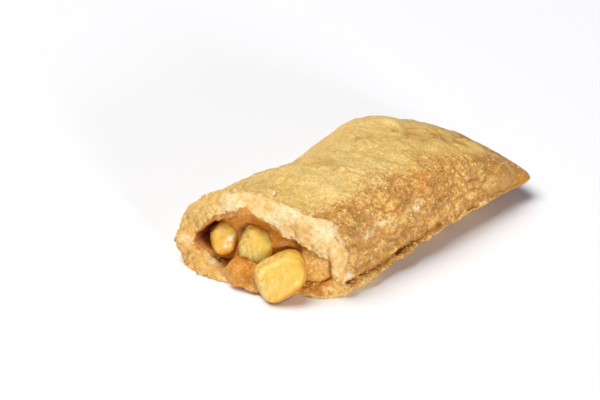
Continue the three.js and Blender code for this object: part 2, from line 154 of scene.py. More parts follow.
def nearby_centres(point: Array, spacing: float, seed: int) -> Iterator[tuple[Array, Array]]:
    """Go through the lattice cells round each point, each with a centre at a random place.

    Args:
        point: Places in millimetres.
        spacing: Size of a lattice cell in millimetres.
        seed: First of three seeds for the centres.

    Yields:
        The cell's corner, and the distance to its centre squared, both in spacings.
    """
    place = point / spacing
    cell = np.floor(place)
    for step in np.ndindex(3, 3, 3):
        corner = cell + (np.array(step) - 1)
        gap = corner + join(*(lattice_value(corner, seed + axis) for axis in range(3))) - place
        yield corner, (gap * gap).sum(axis=-1)


def blisters(point: Array, spacing: float, seed: int) -> Array:
    """Raise one rounded blister at a random place in each lattice cell.

    Args:
        point: Places in millimetres.
        spacing: Size of a lattice cell in millimetres.
        seed: First of four seeds: three for the place and one for the radius.

    Returns:
        The highest blister at each point: its radius times (1 - d^2/r^2) to the power 1.5.
    """
    highest = np.zeros(point.shape[:-1])
    for corner, squared in nearby_centres(point, spacing, seed):
        radius = mix(0.3, 0.75, lattice_value(corner, seed + 3))
        highest = np.maximum(highest, clamp01(1 - squared / radius**2) ** 1.5 * radius)
    return highest


def cells(point: Array, spacing: float, seed: int) -> tuple[Array, Array]:
    """Split space into random cells, as a crust splits into bubbles.

    Args:
        point: Places in millimetres.
        spacing: Mean distance between cell centres in millimetres.
        seed: First of three seeds for the centres.

    Returns:
        The distance to the nearest centre and to the second nearest, in spacings.
    """
    nearest = second = np.full(point.shape[:-1], np.inf)
    for _, squared in nearby_centres(point, spacing, seed):
        distance = np.sqrt(squared)
        second = np.minimum(second, np.maximum(nearest, distance))
        nearest = np.minimum(nearest, distance)
    return nearest, second


def warped(point: Array, size: float, reach: float, seed: int) -> Array:
    """Push points along each axis by noise up to reach, so that patterns there wander."""
    return point + reach * join(*(noise(point, size, seed + axis) for axis in range(3)))


# ---- grids and meshes


class Pinch(Enum):
    """How the first and last rows of a wrapped grid are shut."""

    LINE = "folded flat on itself"
    POINT = "drawn together"


def index_map(rows: int, columns: int, pinch: Pinch) -> Array:
    """Number the points of a wrapped grid, with the points of its shut rows shared.

    Args:
        rows: Rows of points.
        columns: Points in each row.
        pinch: How the end rows are shut.

    Returns:
        A whole number for each row and column.
    """
    index = np.arange(rows * columns).reshape(rows, columns)
    column = np.arange(columns)
    folded = np.minimum(column, columns - column) if pinch is Pinch.LINE else column * 0
    index[0] = index[0, folded]
    index[-1] = index[-1, folded]
    return index


def cut_fold(quads: Array, last: bool) -> Array:
    """Cut the quads beside a row that is folded flat into triangles.

    The cuts lean away from both ends of the fold, so that none of them falls on the cut of
    the quad that is folded against it.

    Args:
        quads: One ring of quads, columns by four.
        last: Whether the folded row comes after the quads, not before them.

    Returns:
        Twice as many triangles.
    """
    half = len(quads) // 2
    early = ((np.arange(len(quads)) % half < half / 2) != last)[:, None]
    first = np.where(early, quads[:, [0, 1, 2]], quads[:, [0, 1, 3]])
    second = np.where(early, quads[:, [0, 2, 3]], quads[:, [1, 2, 3]])
    return np.concatenate([first, second])


def solid_from_grid(name: str, points: Array, pinch: Pinch) -> Thing:
    """Make a closed mesh from a grid of points that wraps round and is shut at both ends.

    Args:
        name: Name of the object and its mesh.
        points: Rows by columns by three, in millimetres.
        pinch: How the end rows are shut.

    Returns:
        The object, linked to the scene, smooth shaded, with its faces pointing out. Its
        vertices keep the order of the grid, less those that the shut rows share.
    """
    index = index_map(*points.shape[:2], pinch)
    used, compact = np.unique(index, return_inverse=True)
    compact = compact.reshape(index.shape)
    following = np.roll(compact, -1, axis=1)
    quads = join(compact[:-1], following[:-1], following[1:], compact[1:])
    places = points.reshape(-1, 3)[used]
    sides = quads[1:-1].reshape(-1, 4)
    if pinch is Pinch.POINT:
        faces = [quads[0][:, [0, 2, 3]], sides, quads[-1][:, [0, 1, 2]]]
    else:
        faces = [cut_fold(quads[0], False), sides, cut_fold(quads[-1], True)]
    first, second, third, fourth = (places[sides[:, corner]] for corner in range(4))
    area = np.cross(third - first, fourth - second)
    middle = places[sides].mean(axis=1) - places.mean(axis=0)
    if (area * middle).sum() < 0:
        faces = [face[:, ::-1] for face in faces]
    return mesh_object(name, places, faces)


def mesh_object(name: str, places: Array, faces: list[Array]) -> Thing:
    """Put arrays of places and faces into a new mesh object.

    Args:
        name: Name of the object and its mesh.
        places: Vertices by three, in millimetres.
        faces: Arrays of vertex numbers, each with faces of one size.

    Returns:
        The object, linked to the scene and smooth shaded.
    """
    mesh = bpy.data.meshes.new(name)
    loops = np.concatenate([face.reshape(-1) for face in faces]).astype(np.int32)
    sizes = np.concatenate([np.full(len(face), face.shape[1], np.int32) for face in faces])
    starts = np.concatenate([[0], np.cumsum(sizes)[:-1]]).astype(np.int32)
    mesh.vertices.add(len(places))
    mesh.vertices.foreach_set("co", (places * MM).astype(np.float32).ravel())
    mesh.loops.add(len(loops))
    mesh.loops.foreach_set("vertex_index", loops)
    mesh.polygons.add(len(sizes))
    mesh.polygons.foreach_set("loop_start", starts)
    mesh.polygons.foreach_set("loop_total", sizes)
    mesh.polygons.foreach_set("use_smooth", np.ones(len(sizes), bool))
    mesh.update(calc_edges=True)
    mesh.validate()
    thing = bpy.data.objects.new(name, mesh)
    bpy.context.scene.collection.objects.link(thing)
    return thing


def fuse(thing: Thing, other: Thing) -> None:
    """Join another closed piece to a closed piece as one skin, and take the other away.

    Args:
        thing: The piece that is kept, with its own shape replaced by the union.
        other: The piece that goes into it.
    """
    union = thing.modifiers.new("union", "BOOLEAN")
    union.operation = "UNION"
    union.solver = "EXACT"
    union.object = other
    view = bpy.context.evaluated_depsgraph_get()
    joined = bpy.data.meshes.new_from_object(thing.evaluated_get(view))
    thing.modifiers.remove(union)
    joined.name = thing.data.name
    thing.data = joined
    bpy.data.objects.remove(other)


def store(thing: Thing, name: str, values: Array) -> None:
    """Store one number for each vertex of a mesh under a name that a material reads."""
    attribute = thing.data.attributes.new(name, "FLOAT", "POINT")
    attribute.data.foreach_set("value", values.astype(np.float32))


def store_grid(thing: Thing, name: str, values: Array, pinch: Pinch) -> None:
    """Store rows by columns of numbers on the mesh that solid_from_grid made of the grid."""
    store(thing, name, values.ravel()[np.unique(index_map(*values.shape, pinch))])


def vertex_places(thing: Thing) -> Array:
    """Return the places of a mesh's vertices in millimetres, vertices by three."""
    places = np.empty(3 * len(thing.data.vertices), np.float32)
    thing.data.vertices.foreach_get("co", places)
    return places.reshape(-1, 3).astype(np.float64) / MM


def grid_normals(points: Array) -> Array:
    """Find the outward direction at each point of a wrapped grid.

    Args:
        points: Rows by columns by three, with rows running along and columns round.

    Returns:
        Unit vectors: the step round the ring crossed with the step along the rows.
    """
    around = np.roll(points, -1, axis=1) - np.roll(points, 1, axis=1)
    normal = np.cross(around, np.gradient(points, axis=0))
    length = np.linalg.norm(normal, axis=-1, keepdims=True)
    return normal / np.maximum(length, 1e-9)


# ---- the form of the pie


@dataclass(frozen=True)
class PieForm:
    """Sizes and surfaces of the pie in millimetres, as its solids have them.

    A wave is its height, the place and half length of its middle along the pie, and its
    place across: a saddle, a hump and a sag.
    """

    half_width: float = 26.0
    crown: float = 25.0
    sealed_x: float = 51.0
    near_corner_radius: float = 3.0
    far_corner_radius: float = 16.0
    near_corner_skew: float = 4.0
    tear_near_x: float = -36.0
    tear_sweep: float = 17.5
    tear_power: float = 2.2
    skin_recess: float = 5.6
    ceiling_recess: float = 0.6
    lip_reach: float = 2.4
    lip_inner_recess: float = 1.5
    tear_bulge: float = 1.1
    near_seam_z: float = 2.6
    near_seam_rise: float = 3.6
    near_tip_rise: float = 0.6
    far_seam_z: float = 9.0
    far_seam_fall: float = 1.7
    near_edge: float = 1.8
    far_edge: float = 2.5
    seam_lip: float = 1.2
    underside_depth: float = 1.5
    waves: tuple = ((-3.8, -18, 15, 20), (2.8, 14, 15, 16), (-1.7, -44, 12, 14))
    wave_half_width: float = 9.0
    mouth_y: float = -4.5
    mouth_half_width: float = 18.3
    mouth_corner_reach: float = 4.0
    ceiling_fold: float = 4.4
    ceiling_rise: float = 1.5
    hollow_y: float = -1.0
    hollow_half_width: float = 21.3
    roof: float = 3.4
    mouth_roof: float = 4.6
    floor: float = 2.8
    mouth_floor: float = 2.1
    hollow_end: float = 0.86
    hollow_taper_start: float = 0.58
    inner_length: float = 90.0

    def corner_cut(self, across: Array, radius: float) -> Array:
        """Return how far a rounded corner draws the sealed end back."""
        share = clamp01((across - (self.half_width - radius)) / radius)
        return radius * (1 - np.sqrt(1 - share * share))

    def sealed(self, y: Array) -> Array:
        """Return the X of the sealed end at a place across the pie: rounded and skewed."""
        rounding = self.corner_cut(y, self.far_corner_radius)
        rounding = rounding + self.corner_cut(-y, self.near_corner_radius)
        skew = self.near_corner_skew * clamp01(-y / self.half_width) ** 1.5
        return self.sealed_x - rounding - skew

    def tear(self, y: Array) -> Array:
        """Return the X of the tear line at a place across the pie."""
        share = clamp01((y + self.half_width) / (2 * self.half_width))
        return self.tear_near_x - self.tear_sweep * (1 - (1 - share) ** self.tear_power)

    def seam(self, along: Array, across: Array) -> Array:
        """Return the height of the seam at a share along and across the pie."""
        near = self.near_seam_z + self.near_seam_rise * ease(0.05, 0.5, along)
        near = near + self.near_tip_rise * along**2
        far = self.far_seam_z - self.far_seam_fall * along
        return mix(near, far, ease(-1.0, 1.0, across))

    def edge(self, across: Array) -> Array:
        """Return half the thickness of the pinched edge."""
        return mix(self.near_edge, self.far_edge, ease(0.0, 1.0, across))

    def width_at(self, along: Array) -> Array:
        """Return half the width of the pie at a share along it."""
        return self.half_width * (1 - 0.03 * (2 * along - 1) ** 2)

    @staticmethod
    def swelling(along: Array) -> Array:
        """Return the share of its full height that the pie has at a share along it."""
        return (1 - clamp01((along - 0.45) / 0.55) ** 2.2) ** 0.9

    @staticmethod
    def superellipse(cosine: Array, sine: Array, power: Array) -> tuple[Array, Array]:
        """Push cosine and sine out to the unit superellipse of a power."""
        reach = (np.abs(cosine) ** power + np.abs(sine) ** power) ** (-1 / power)
        return cosine * reach, sine * reach

    def skin(self, along: Array, cosine: Array, sine: Array) -> Array:
        """Work out the outer skin.

        A section is a superellipse on the seam, squarer at the near side, whose height
        follows the swelling. A lip stands out along the near seam under a crease, and the
        crown has its waves.

        Args:
            along: Share of the pie's length, 0 at the tear.
            cosine: Cosine of the turn round the section, 1 at the far edge.
            sine: Sine of the turn, 1 at the crown.

        Returns:
            Points with X, Y and Z on the last axis; the underside sinks below the floor.
        """
        along, cosine, sine = np.broadcast_arrays(along, cosine, sine)
        upper = sine >= 0
        top_power = mix(3.6, 2.0, ease(-0.4, 0.1, cosine))
        low_power = mix(3.2, 1.5, ease(0.0, 0.35, along))
        power = mix(2.0, np.where(upper, top_power, low_power), 1 - along**6)
        across, lift = self.superellipse(cosine, sine, power)
        seam = self.seam(along, across)
        swell = self.swelling(along)
        rise, sink = (self.crown - seam - 1) * swell, (seam + self.underside_depth) * swell**0.6
        z = seam + lift * np.where(upper, rise, sink) + sine * self.edge(across)
        y = self.width_at(along) * across
        y = y - 1.5 * ease(0.3, 1.0, across) * ease(0.12, 0.0, along)
        fold = mix(0.25, 1.0, ease(0.6, 0.3, along)) * ease(1.0, 0.9, along)
        lip = self.seam_lip * (fold * ease(0.0, -0.4, across))
        y = y - lip * hill(z - seam, 0, 0.9)
        y = y + np.where(upper, lip * hill(z - seam, 2.2, 0.9), 0.0)
        x = mix(self.tear(y), self.sealed(y), along)
        waves = sum(
            height * hill(x, px, reach) * hill(y, py, self.wave_half_width)
            for height, px, reach, py in self.waves
        )
        z = z + np.where(upper, waves * ease(3.0, 12.0, z), 0.0)
        far = 1 - ease(18.0, self.half_width, y), 1 - ease(16.0, self.half_width, y)
        back = self.skin_recess * ease(-18.0, 0.0, y) * far[0]
        reach = self.lip_reach * ease(-25.0, -19.0, y) * far[1]
        tuck = 1.2 * ease(12.0, self.half_width, y)
        start = self.tear(y) + tuck + np.where(upper, back, -reach) * np.sqrt(np.abs(sine))
        return join(mix(start, self.sealed(y), along), y, z)

    def sealed_edge(self, quarter: Array, cosine: Array, sine: Array) -> Array:
        """Work out the rounded sealed edge.

        Args:
            quarter: Turn from 0 at the skin to a quarter turn at the outermost line.
            cosine: Cosine of the turn round the section.
            sine: Sine of the turn.

        Returns:
            Points on a half circle of the edge's thickness, swept along the sealed end. At
            the corners it keeps a fiftieth of its thickness, so that no faces fall together.
        """
        quarter, cosine, sine = np.broadcast_arrays(quarter, cosine, sine)
        y = self.width_at(np.ones(())) * cosine
        thickness = self.edge(cosine) * np.maximum(np.abs(sine), 0.02)
        z = self.seam(np.ones(()), cosine) + np.sign(sine) * thickness * np.cos(quarter)
        return join(self.sealed(y) + thickness * np.sin(quarter), y, z)

    def hollow(self, along: Array, cosine: Array, sine: Array, inset: float) -> Array:
        """Work out the wall of the hollow, a superellipse that closes at its inner end.

        At the mouth its ceiling rises in the middle, hangs down in a fold and falls to the
        near side, and a corner reaches out to the far side.

        Args:
            along: Share of the pie's length.
            cosine: Cosine of the turn round the section.
            sine: Sine of the turn.
            inset: How far inside the wall the points lie, in millimetres.

        Returns:
            Points with X, Y and Z on the last axis.
        """
        along, cosine, sine = np.broadcast_arrays(along, cosine, sine)
        end = self.hollow_end - inset / self.inner_length
        taper = clamp01((along - self.hollow_taper_start) / (end - self.hollow_taper_start))
        closing = np.sqrt(1 - taper * taper)
        settle = ease(0.0, 0.35, along)
        squareness = np.where(sine >= 0, 1.9, mix(3.4, 2.0, ease(-0.4, 0.4, cosine)))
        across, lift = self.superellipse(cosine, sine, mix(squareness, 2.3, settle))
        reach = mix(self.mouth_half_width, self.hollow_half_width, settle) - inset
        y = mix(self.mouth_y, self.hollow_y, settle) + reach * across * mix(0.9, 1.0, closing)
        seam = self.seam(along, np.zeros(()))
        swell = self.swelling(along)
        top = seam + (self.crown - seam) * swell - mix(self.mouth_roof, self.roof, settle)
        top = top - 2.2 * (1 - swell)
        floor = mix(self.mouth_floor, self.floor, settle)
        height = np.maximum(0, (top - floor) / 2 - inset) * closing
        at_mouth = ease(0.14, 0.0, along)
        fold = self.ceiling_fold * hill(y, -12.5, 6.5) - self.ceiling_rise * hill(y, -0.5, 4.5)
        level = (top + floor) / 2 + height * lift - fold * at_mouth * clamp01(lift) ** 2
        fall = 0.8 * ease(-12.5, -20.0, y) * at_mouth
        z = level - fall * np.maximum(0, level - 10)
        corner = hill(z, 8, 3.6) * ease(0.2, 0.8, across)
        wide = y + self.mouth_corner_reach * corner * at_mouth
        return join(mix(self.tear(wide), self.sealed(wide), along), wide, z)

    def mouth(self, cosine: Array, sine: Array) -> Array:
        """Return the inner rim of the tear, its ceiling and floor set back a little."""
        rim = self.hollow(np.zeros(()), cosine, sine, 0.0)
        back = np.where(sine >= 0, self.ceiling_recess, self.lip_inner_recess)
        rim[..., 0] += back * np.sqrt(np.abs(sine))
        return rim

    def even_turns(self, columns: int) -> tuple[Array, Array]:
        """Space columns evenly round the pie's section.

        Args:
            columns: How many columns, an even number.

        Returns:
            Cosines and sines of the turns, even in length over the crown and mirrored
            for the underside, so that the shut rows fold exactly.
        """
        fine = np.linspace(0, math.pi, 2001)
        path = self.skin(np.array(0.3), np.cos(fine), np.sin(fine))
        steps = np.linalg.norm(np.diff(path[:, 1:], axis=0), axis=-1)
        length = np.concatenate([[0.0], np.cumsum(steps)])
        turn = np.interp(np.linspace(0, length[-1], columns // 2 + 1), length, fine)
        return mirrored(np.cos(turn), np.sin(turn))


def mirrored(cosine: Array, sine: Array) -> tuple[Array, Array]:
    """Add the lower half turn to the cosines and sines of the upper, its exact mirror."""
    cosine = np.concatenate([cosine, cosine[-2:0:-1]])
    sine = np.concatenate([sine, -sine[-2:0:-1]])
    sine[[0, len(sine) // 2]] = 0.0
    return cosine, sine


# ---- materials


def linear(colour: str) -> tuple[float, float, float, float]:
    """Turn an sRGB hex colour into linear red, green, blue and alpha."""
    parts = np.array([int(colour[start : start + 2], 16) / 255 for start in (1, 3, 5)])
    scene = np.where(parts <= 0.04045, parts / 12.92, ((parts + 0.055) / 1.055) ** 2.4)
    return (*scene.tolist(), 1.0)


class Graph:
    """One material and its shader nodes; a call adds a node and returns its output."""

    def __init__(self, name: str) -> None:
        """Make a material, named for the real one, and find its Principled shader."""
        self.material = bpy.data.materials.new(name)
        self.material.use_nodes = True
        self.tree = self.material.node_tree
        self.shader = self.tree.nodes["Principled BSDF"]

    def feed(self, node: bpy.types.Node, inputs: dict) -> None:
        """Set a node's inputs, by name or number, to values or link them to sockets."""
        for key, value in inputs.items():
            if isinstance(value, Socket):
                self.tree.links.new(value, node.inputs[key])
            else:
                node.inputs[key].default_value = value

    def add(self, kind: str, inputs: dict, output: int | str = 0, **settings: str) -> Socket:
        """Add one shader node.

        Args:
            kind: Blender's name for the kind of node, after "ShaderNode".
            inputs: For each input's name or number, a value or the socket that feeds it.
            output: Name or number of the output that is wanted.
            **settings: Properties of the node itself.

        Returns:
            The output.
        """
        node = self.tree.nodes.new("ShaderNode" + kind)
        for key, value in settings.items():
            setattr(node, key, value)
        self.feed(node, inputs)
        return node.outputs[output]

    def ramp(self, factor: Socket, stops: dict[float, str]) -> Socket:
        """Turn a factor from 0 to 1 into a colour.

        Args:
            factor: The factor.
            stops: Hex colours by their place on the ramp, in order.

        Returns:
            The colour.
        """
        output = self.add("ValToRGB", {0: factor})
        elements = output.node.color_ramp.elements
        for number, (place, colour) in enumerate(stops.items()):
            element = elements[number] if number < 2 else elements.new(place)
            element.position = place
            element.color = linear(colour)
        return output

    def lay(self, below: Socket, share: Socket, above: Socket | str) -> Socket:
        """Lay a colour, a socket or a hex colour, over another by a share from 0 to 1."""
        above = above if isinstance(above, Socket) else linear(above)
        return self.add("Mix", {0: share, 6: below, 7: above}, 2, data_type="RGBA")

    def sums(self, operation: str, *values: Socket | float) -> Socket:
        """Return the result of arithmetic on sockets or numbers."""
        return self.add("Math", dict(enumerate(values)), operation=operation)

    def times(self, value: Socket, gain: Socket | float) -> Socket:
        """Return value * gain."""
        return self.sums("MULTIPLY", value, gain)

    def plus(self, value: Socket, gain: float, base: Socket | float) -> Socket:
        """Return value * gain + base."""
        return self.sums("MULTIPLY_ADD", value, gain, base)

    def stored(self, name: str, gain: float = 1.0) -> Socket:
        """Return the number that the mesh stores under a name, times a gain."""
        return self.times(self.add("Attribute", {}, "Fac", attribute_name=name), gain)

    def texture(self, size_mm: float, detail: float = 3.0, roughness: float = 0.55) -> Socket:
        """Return noise from 0 to 1 whose largest grains are size_mm across."""
        place = self.add("TexCoord", {}, "Object")
        inputs = {"Vector": place, "Scale": 1 / (size_mm * MM), "Detail": detail}
        return self.add("TexNoise", inputs | {"Roughness": roughness})

    def narrowed(self, value: Socket, low: float, high: float) -> Socket:
        """Stretch the values between low and high over 0 to 1, eased at both ends."""
        inputs = {"Value": value, "From Min": low, "From Max": high}
        return self.add("MapRange", inputs, interpolation_type="SMOOTHSTEP")

    def bump(self, height: Socket, strength: float, depth_mm: float) -> Socket:
        """Return normals that a height up to depth_mm bends."""
        inputs = {"Height": height, "Strength": strength, "Distance": depth_mm * MM}
        return self.add("Bump", inputs)

    def shaded(self, colour: Socket, **inputs: Socket | float | tuple) -> Material:
        """Feed the shader its colour and its own inputs, and return the material."""
        named = {name.replace("_", " "): value for name, value in inputs.items()}
        self.feed(self.shader, {"Base Color": colour} | named)
        return self.material


@dataclass(frozen=True)
class FriedPastry:
    """Wheat dough fried in oil: matt gold with fine pale and brown flecks, a little oily.

    The near shoulder, the sealed end and the tip fried longest and are browner, and the
    creases, cracks and seam groove are painted browner as shade. Where the skin is torn the
    dough inside shows pale, and round the mouth it is stained by the filling; deep in the
    hollow's far corner it is painted dark as shade.
    """

    # Gold by the relief's height: the hollow end is painted shade, the raised end painted light.
    hollow: str = "#dfb55d"
    middle: str = "#eac876"
    raised: str = "#f3db97"
    toasted: str = "#e2a843"
    crease: str = "#ae732f"
    scorched: str = "#c97f20"
    fleck_pale: str = "#f8e0a8"
    fleck_brown: str = "#bd7f33"
    crumb: str = "#f4dca4"
    crumb_shade: str = "#ebcb88"
    # Darkest dough colour: painted shade in the valleys of the torn relief.
    crumb_pit: str = "#dba854"
    golden: str = "#dfa74a"
    caramel: str = "#c6822f"
    # Painted shade deep in the far corner of the hollow.
    painted_hollow_shade: str = "#7a2f10"

    def skin(self, graph: Graph, fine: Socket) -> Socket:
        """Colour the fried skin.

        Args:
            graph: The material's nodes.
            fine: Noise of the finest grain.

        Returns:
            Its colour: gold by height, darker in the hollows and paler on the tops as painted
            shade and light, then toast, pale flecks that are partly painted glints, brown flecks,
            creases browned partly as painted shade, and scorches.
        """
        # The relief's height paints shade into the hollows between bubbles and light onto their
        # tops.
        height = graph.plus(fine, 1.0, graph.stored("skin_relief_shade"))
        height = graph.plus(graph.texture(2.2, 2.0), 1.0, height)
        height = graph.sums("SUBTRACT", height, 1.0)
        skin = graph.ramp(height, {0.1: self.hollow, 0.5: self.middle, 0.95: self.raised})
        skin = graph.lay(skin, graph.stored("toast", 0.7), self.toasted)
        fried = graph.stored("fry")
        # Pale flecks: partly pale bits of the skin, partly painted glints.
        pale = graph.narrowed(graph.plus(fried, 0.05, graph.texture(0.7, 1.0)), 0.6, 0.68)
        skin = graph.lay(skin, graph.times(pale, 0.7), self.fleck_pale)
        brown = graph.narrowed(graph.plus(fried, 0.07, graph.texture(0.8, 2.0)), 0.58, 0.65)
        brown = graph.times(brown, graph.plus(fried, 0.55, 0.3))
        skin = graph.lay(skin, brown, self.fleck_brown)
        # Crease brown: painted shade in gaps, cracks, wrinkles and the seam groove; the frying's
        # own brown at the tip, the sealed end and in browned patches.
        skin = graph.lay(skin, graph.stored("crease", 0.75), self.crease)
        skin = graph.lay(skin, graph.stored("scorch", 0.7), self.scorched)
        return graph.lay(skin, graph.stored("flake"), self.crumb)

    def dough(self, graph: Graph, fine: Socket) -> Socket:
        """Colour the torn dough.

        Args:
            graph: The material's nodes.
            fine: Noise of the finest grain.

        Returns:
            Its colour: pale by height, which paints shade into the valleys and light onto the
            tops, golden where it fried, with golden specks.
        """
        # The torn relief's height paints shade into the valleys and light onto the crumbly tops.
        torn_relief_shade = graph.sums("SUBTRACT", graph.plus(fine, 0.9, graph.stored("torn_relief_shade")), 0.45)
        dough = graph.ramp(torn_relief_shade, {0.1: self.crumb_pit, 0.4: self.crumb_shade, 0.75: self.crumb})
        dough = graph.lay(dough, graph.stored("golden", 0.85), self.golden)
        speck = graph.narrowed(graph.texture(0.6, 1.0), 0.56, 0.66)
        return graph.lay(dough, graph.times(speck, 0.5), self.golden)

    def make(self) -> Material:
        """Build the material.

        Returns:
            Skin and dough by the zones on the mesh, stained round the mouth, and painted dark
            as shade deep in the hollow's far corner.
        """
        graph = Graph("fried_wheat_pastry")
        fine = graph.texture(0.8, 4.0, 0.7)
        skin = self.skin(graph, fine)
        colour = graph.lay(skin, graph.stored("crumb"), self.dough(graph, fine))
        stain = graph.narrowed(graph.plus(fine, 1.4, graph.stored("stain")), 0.85, 1.6)
        colour = graph.lay(colour, stain, self.caramel)
        # Dark red-brown painted as shade deep in the hollow's far corner.
        colour = graph.lay(colour, graph.stored("painted_hollow_shade"), self.painted_hollow_shade)
        spread = {"Value": fine, "From Min": 0.35, "From Max": 0.65, "To Min": 0.3, "To Max": 0.7}
        return graph.shaded(
            colour, Roughness=graph.add("MapRange", spread), IOR=1.42, Specular_IOR_Level=0.4,
            Subsurface_Weight=0.08, Subsurface_Radius=(1.0, 0.6, 0.3), Subsurface_Scale=0.8 * MM,
            Normal=graph.bump(graph.texture(0.6, 3.0, 0.65), 0.9, 0.35),
        )


@dataclass(frozen=True)
class CaramelGel:
    """Starch gel with caramel and cinnamon: amber, glossy, cloudy, grainy where it mashed."""

    # Painted shade on the gel that lies deep behind the tear.
    dark: str = "#86390f"
    deep: str = "#b8690c"
    bright: str = "#d58c22"
    mash: str = "#e0ae55"
    mash_shade: str = "#c98930"
    bits: str = "#a45c1c"
    crumb: str = "#f3cd84"

    def make(self) -> Material:
        """Build the material.

        Returns:
            Amber that drifts from deep to bright, painted dark as shade in the depth, mash
            where the mesh says, with brown and pale bits under a millimetre.
        """
        graph = Graph("caramel_apple_gel")
        drift = graph.narrowed(graph.texture(3.0), 0.3, 0.65)
        gel = graph.ramp(drift, {0.0: self.deep, 1.0: self.bright})
        # Painted shade: the gel darkens where it lies deep behind the tear.
        gel = graph.lay(gel, graph.stored("depth"), self.dark)
        mash = graph.ramp(graph.texture(1.0), {0.35: self.mash_shade, 0.6: self.mash})
        mashed = graph.stored("mash")
        colour = graph.lay(gel, mashed, mash)
        grain = graph.narrowed(graph.texture(0.55, 2.0), 0.58, 0.68)
        colour = graph.lay(colour, graph.times(grain, 0.5), self.bits)
        pale = graph.narrowed(graph.texture(0.7, 1.0), 0.58, 0.68)
        pale = graph.times(pale, graph.plus(mashed, 0.5, 0.2))
        return graph.shaded(
            graph.lay(colour, pale, self.crumb), Roughness=0.42, IOR=1.36,
            Coat_Weight=0.12, Coat_Roughness=0.15,
            Subsurface_Weight=0.2, Subsurface_Radius=(1.0, 0.5, 0.12), Subsurface_Scale=1.5 * MM,
            Normal=graph.bump(graph.texture(0.9, 3.0, 0.65), 0.8, 0.4),
        )


@dataclass(frozen=True)
class CookedApple:
    """Cooked apple flesh glazed with syrup: cloudy yellow with soft fibres and wet lights."""

    flesh: str = "#deb245"
    cloud: str = "#eacb6a"
    # Painted light on the side of a chunk turned to the lamp.
    pale: str = "#f6e2a4"
    # The syrup's colour, also used for painted shade at edges turned from the eye.
    syrup_and_shade: str = "#d18a1e"

    def make(self) -> Material:
        """Build the material.

        Returns:
            Flesh along stretched fibres, paler on the side turned to the lamp as painted light,
            browner where syrup lies and at the edges as painted shade, as the mesh says, and soft
            enough for light to pass into it.
        """
        graph = Graph("cooked_apple_flesh")
        place = graph.add("TexCoord", {}, "Object")
        turned = {"Vector": place, "Rotation": (0.4, 0.2, 0.5), "Scale": (1, 1, 0.3)}
        stretched = graph.add("Mapping", turned)
        inputs = {"Vector": stretched, "Scale": 1 / (1.1 * MM), "Detail": 3.0}
        fibre = graph.add("TexNoise", inputs)
        colour = graph.ramp(fibre, {0.3: self.flesh, 0.75: self.cloud})
        mottle = graph.narrowed(graph.texture(1.2), 0.42, 0.62)
        # Paler on the side turned to the lamp: painted light.
        pale = graph.times(graph.stored("pale", 0.75), mottle)
        colour = graph.lay(colour, pale, self.pale)
        cloud = graph.narrowed(graph.texture(4.0), 0.5, 0.75)
        # Share of syrup colour from the mesh: real syrup, and painted shade at the edges and on
        # the shaded chunk.
        glaze_and_shade = graph.plus(cloud, 0.25, graph.stored("syrup_and_shade"))
        return graph.shaded(
            graph.lay(colour, graph.times(glaze_and_shade, 0.8), self.syrup_and_shade), Roughness=0.42, IOR=1.36,
            Coat_Weight=0.2, Coat_Roughness=0.2,
            Subsurface_Weight=0.85, Subsurface_Radius=(1.0, 0.55, 0.12), Subsurface_Scale=5.5 * MM,
            Normal=graph.bump(fibre, 0.4, 0.25),
        )


@dataclass(frozen=True)
class Speck:
    """A small loose grain: one dry colour that varies over a few millimetres."""

    name: str
    dark: str
    light: str
    roughness: float = 0.5

    def make(self) -> Material:
        """Build the material from one noise and two colours."""
        graph = Graph(self.name)
        colour = graph.ramp(graph.texture(1.5, 1.0), {0.35: self.dark, 0.65: self.light})
        return graph.shaded(colour, Roughness=self.roughness)


def dress(thing: Thing, material: Material, slot: str) -> None:
    """Give an object its material and body; the slot it stands for is not used."""
    thing.data.materials.append(material)
    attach(thing, BODY)


# ---- the crust


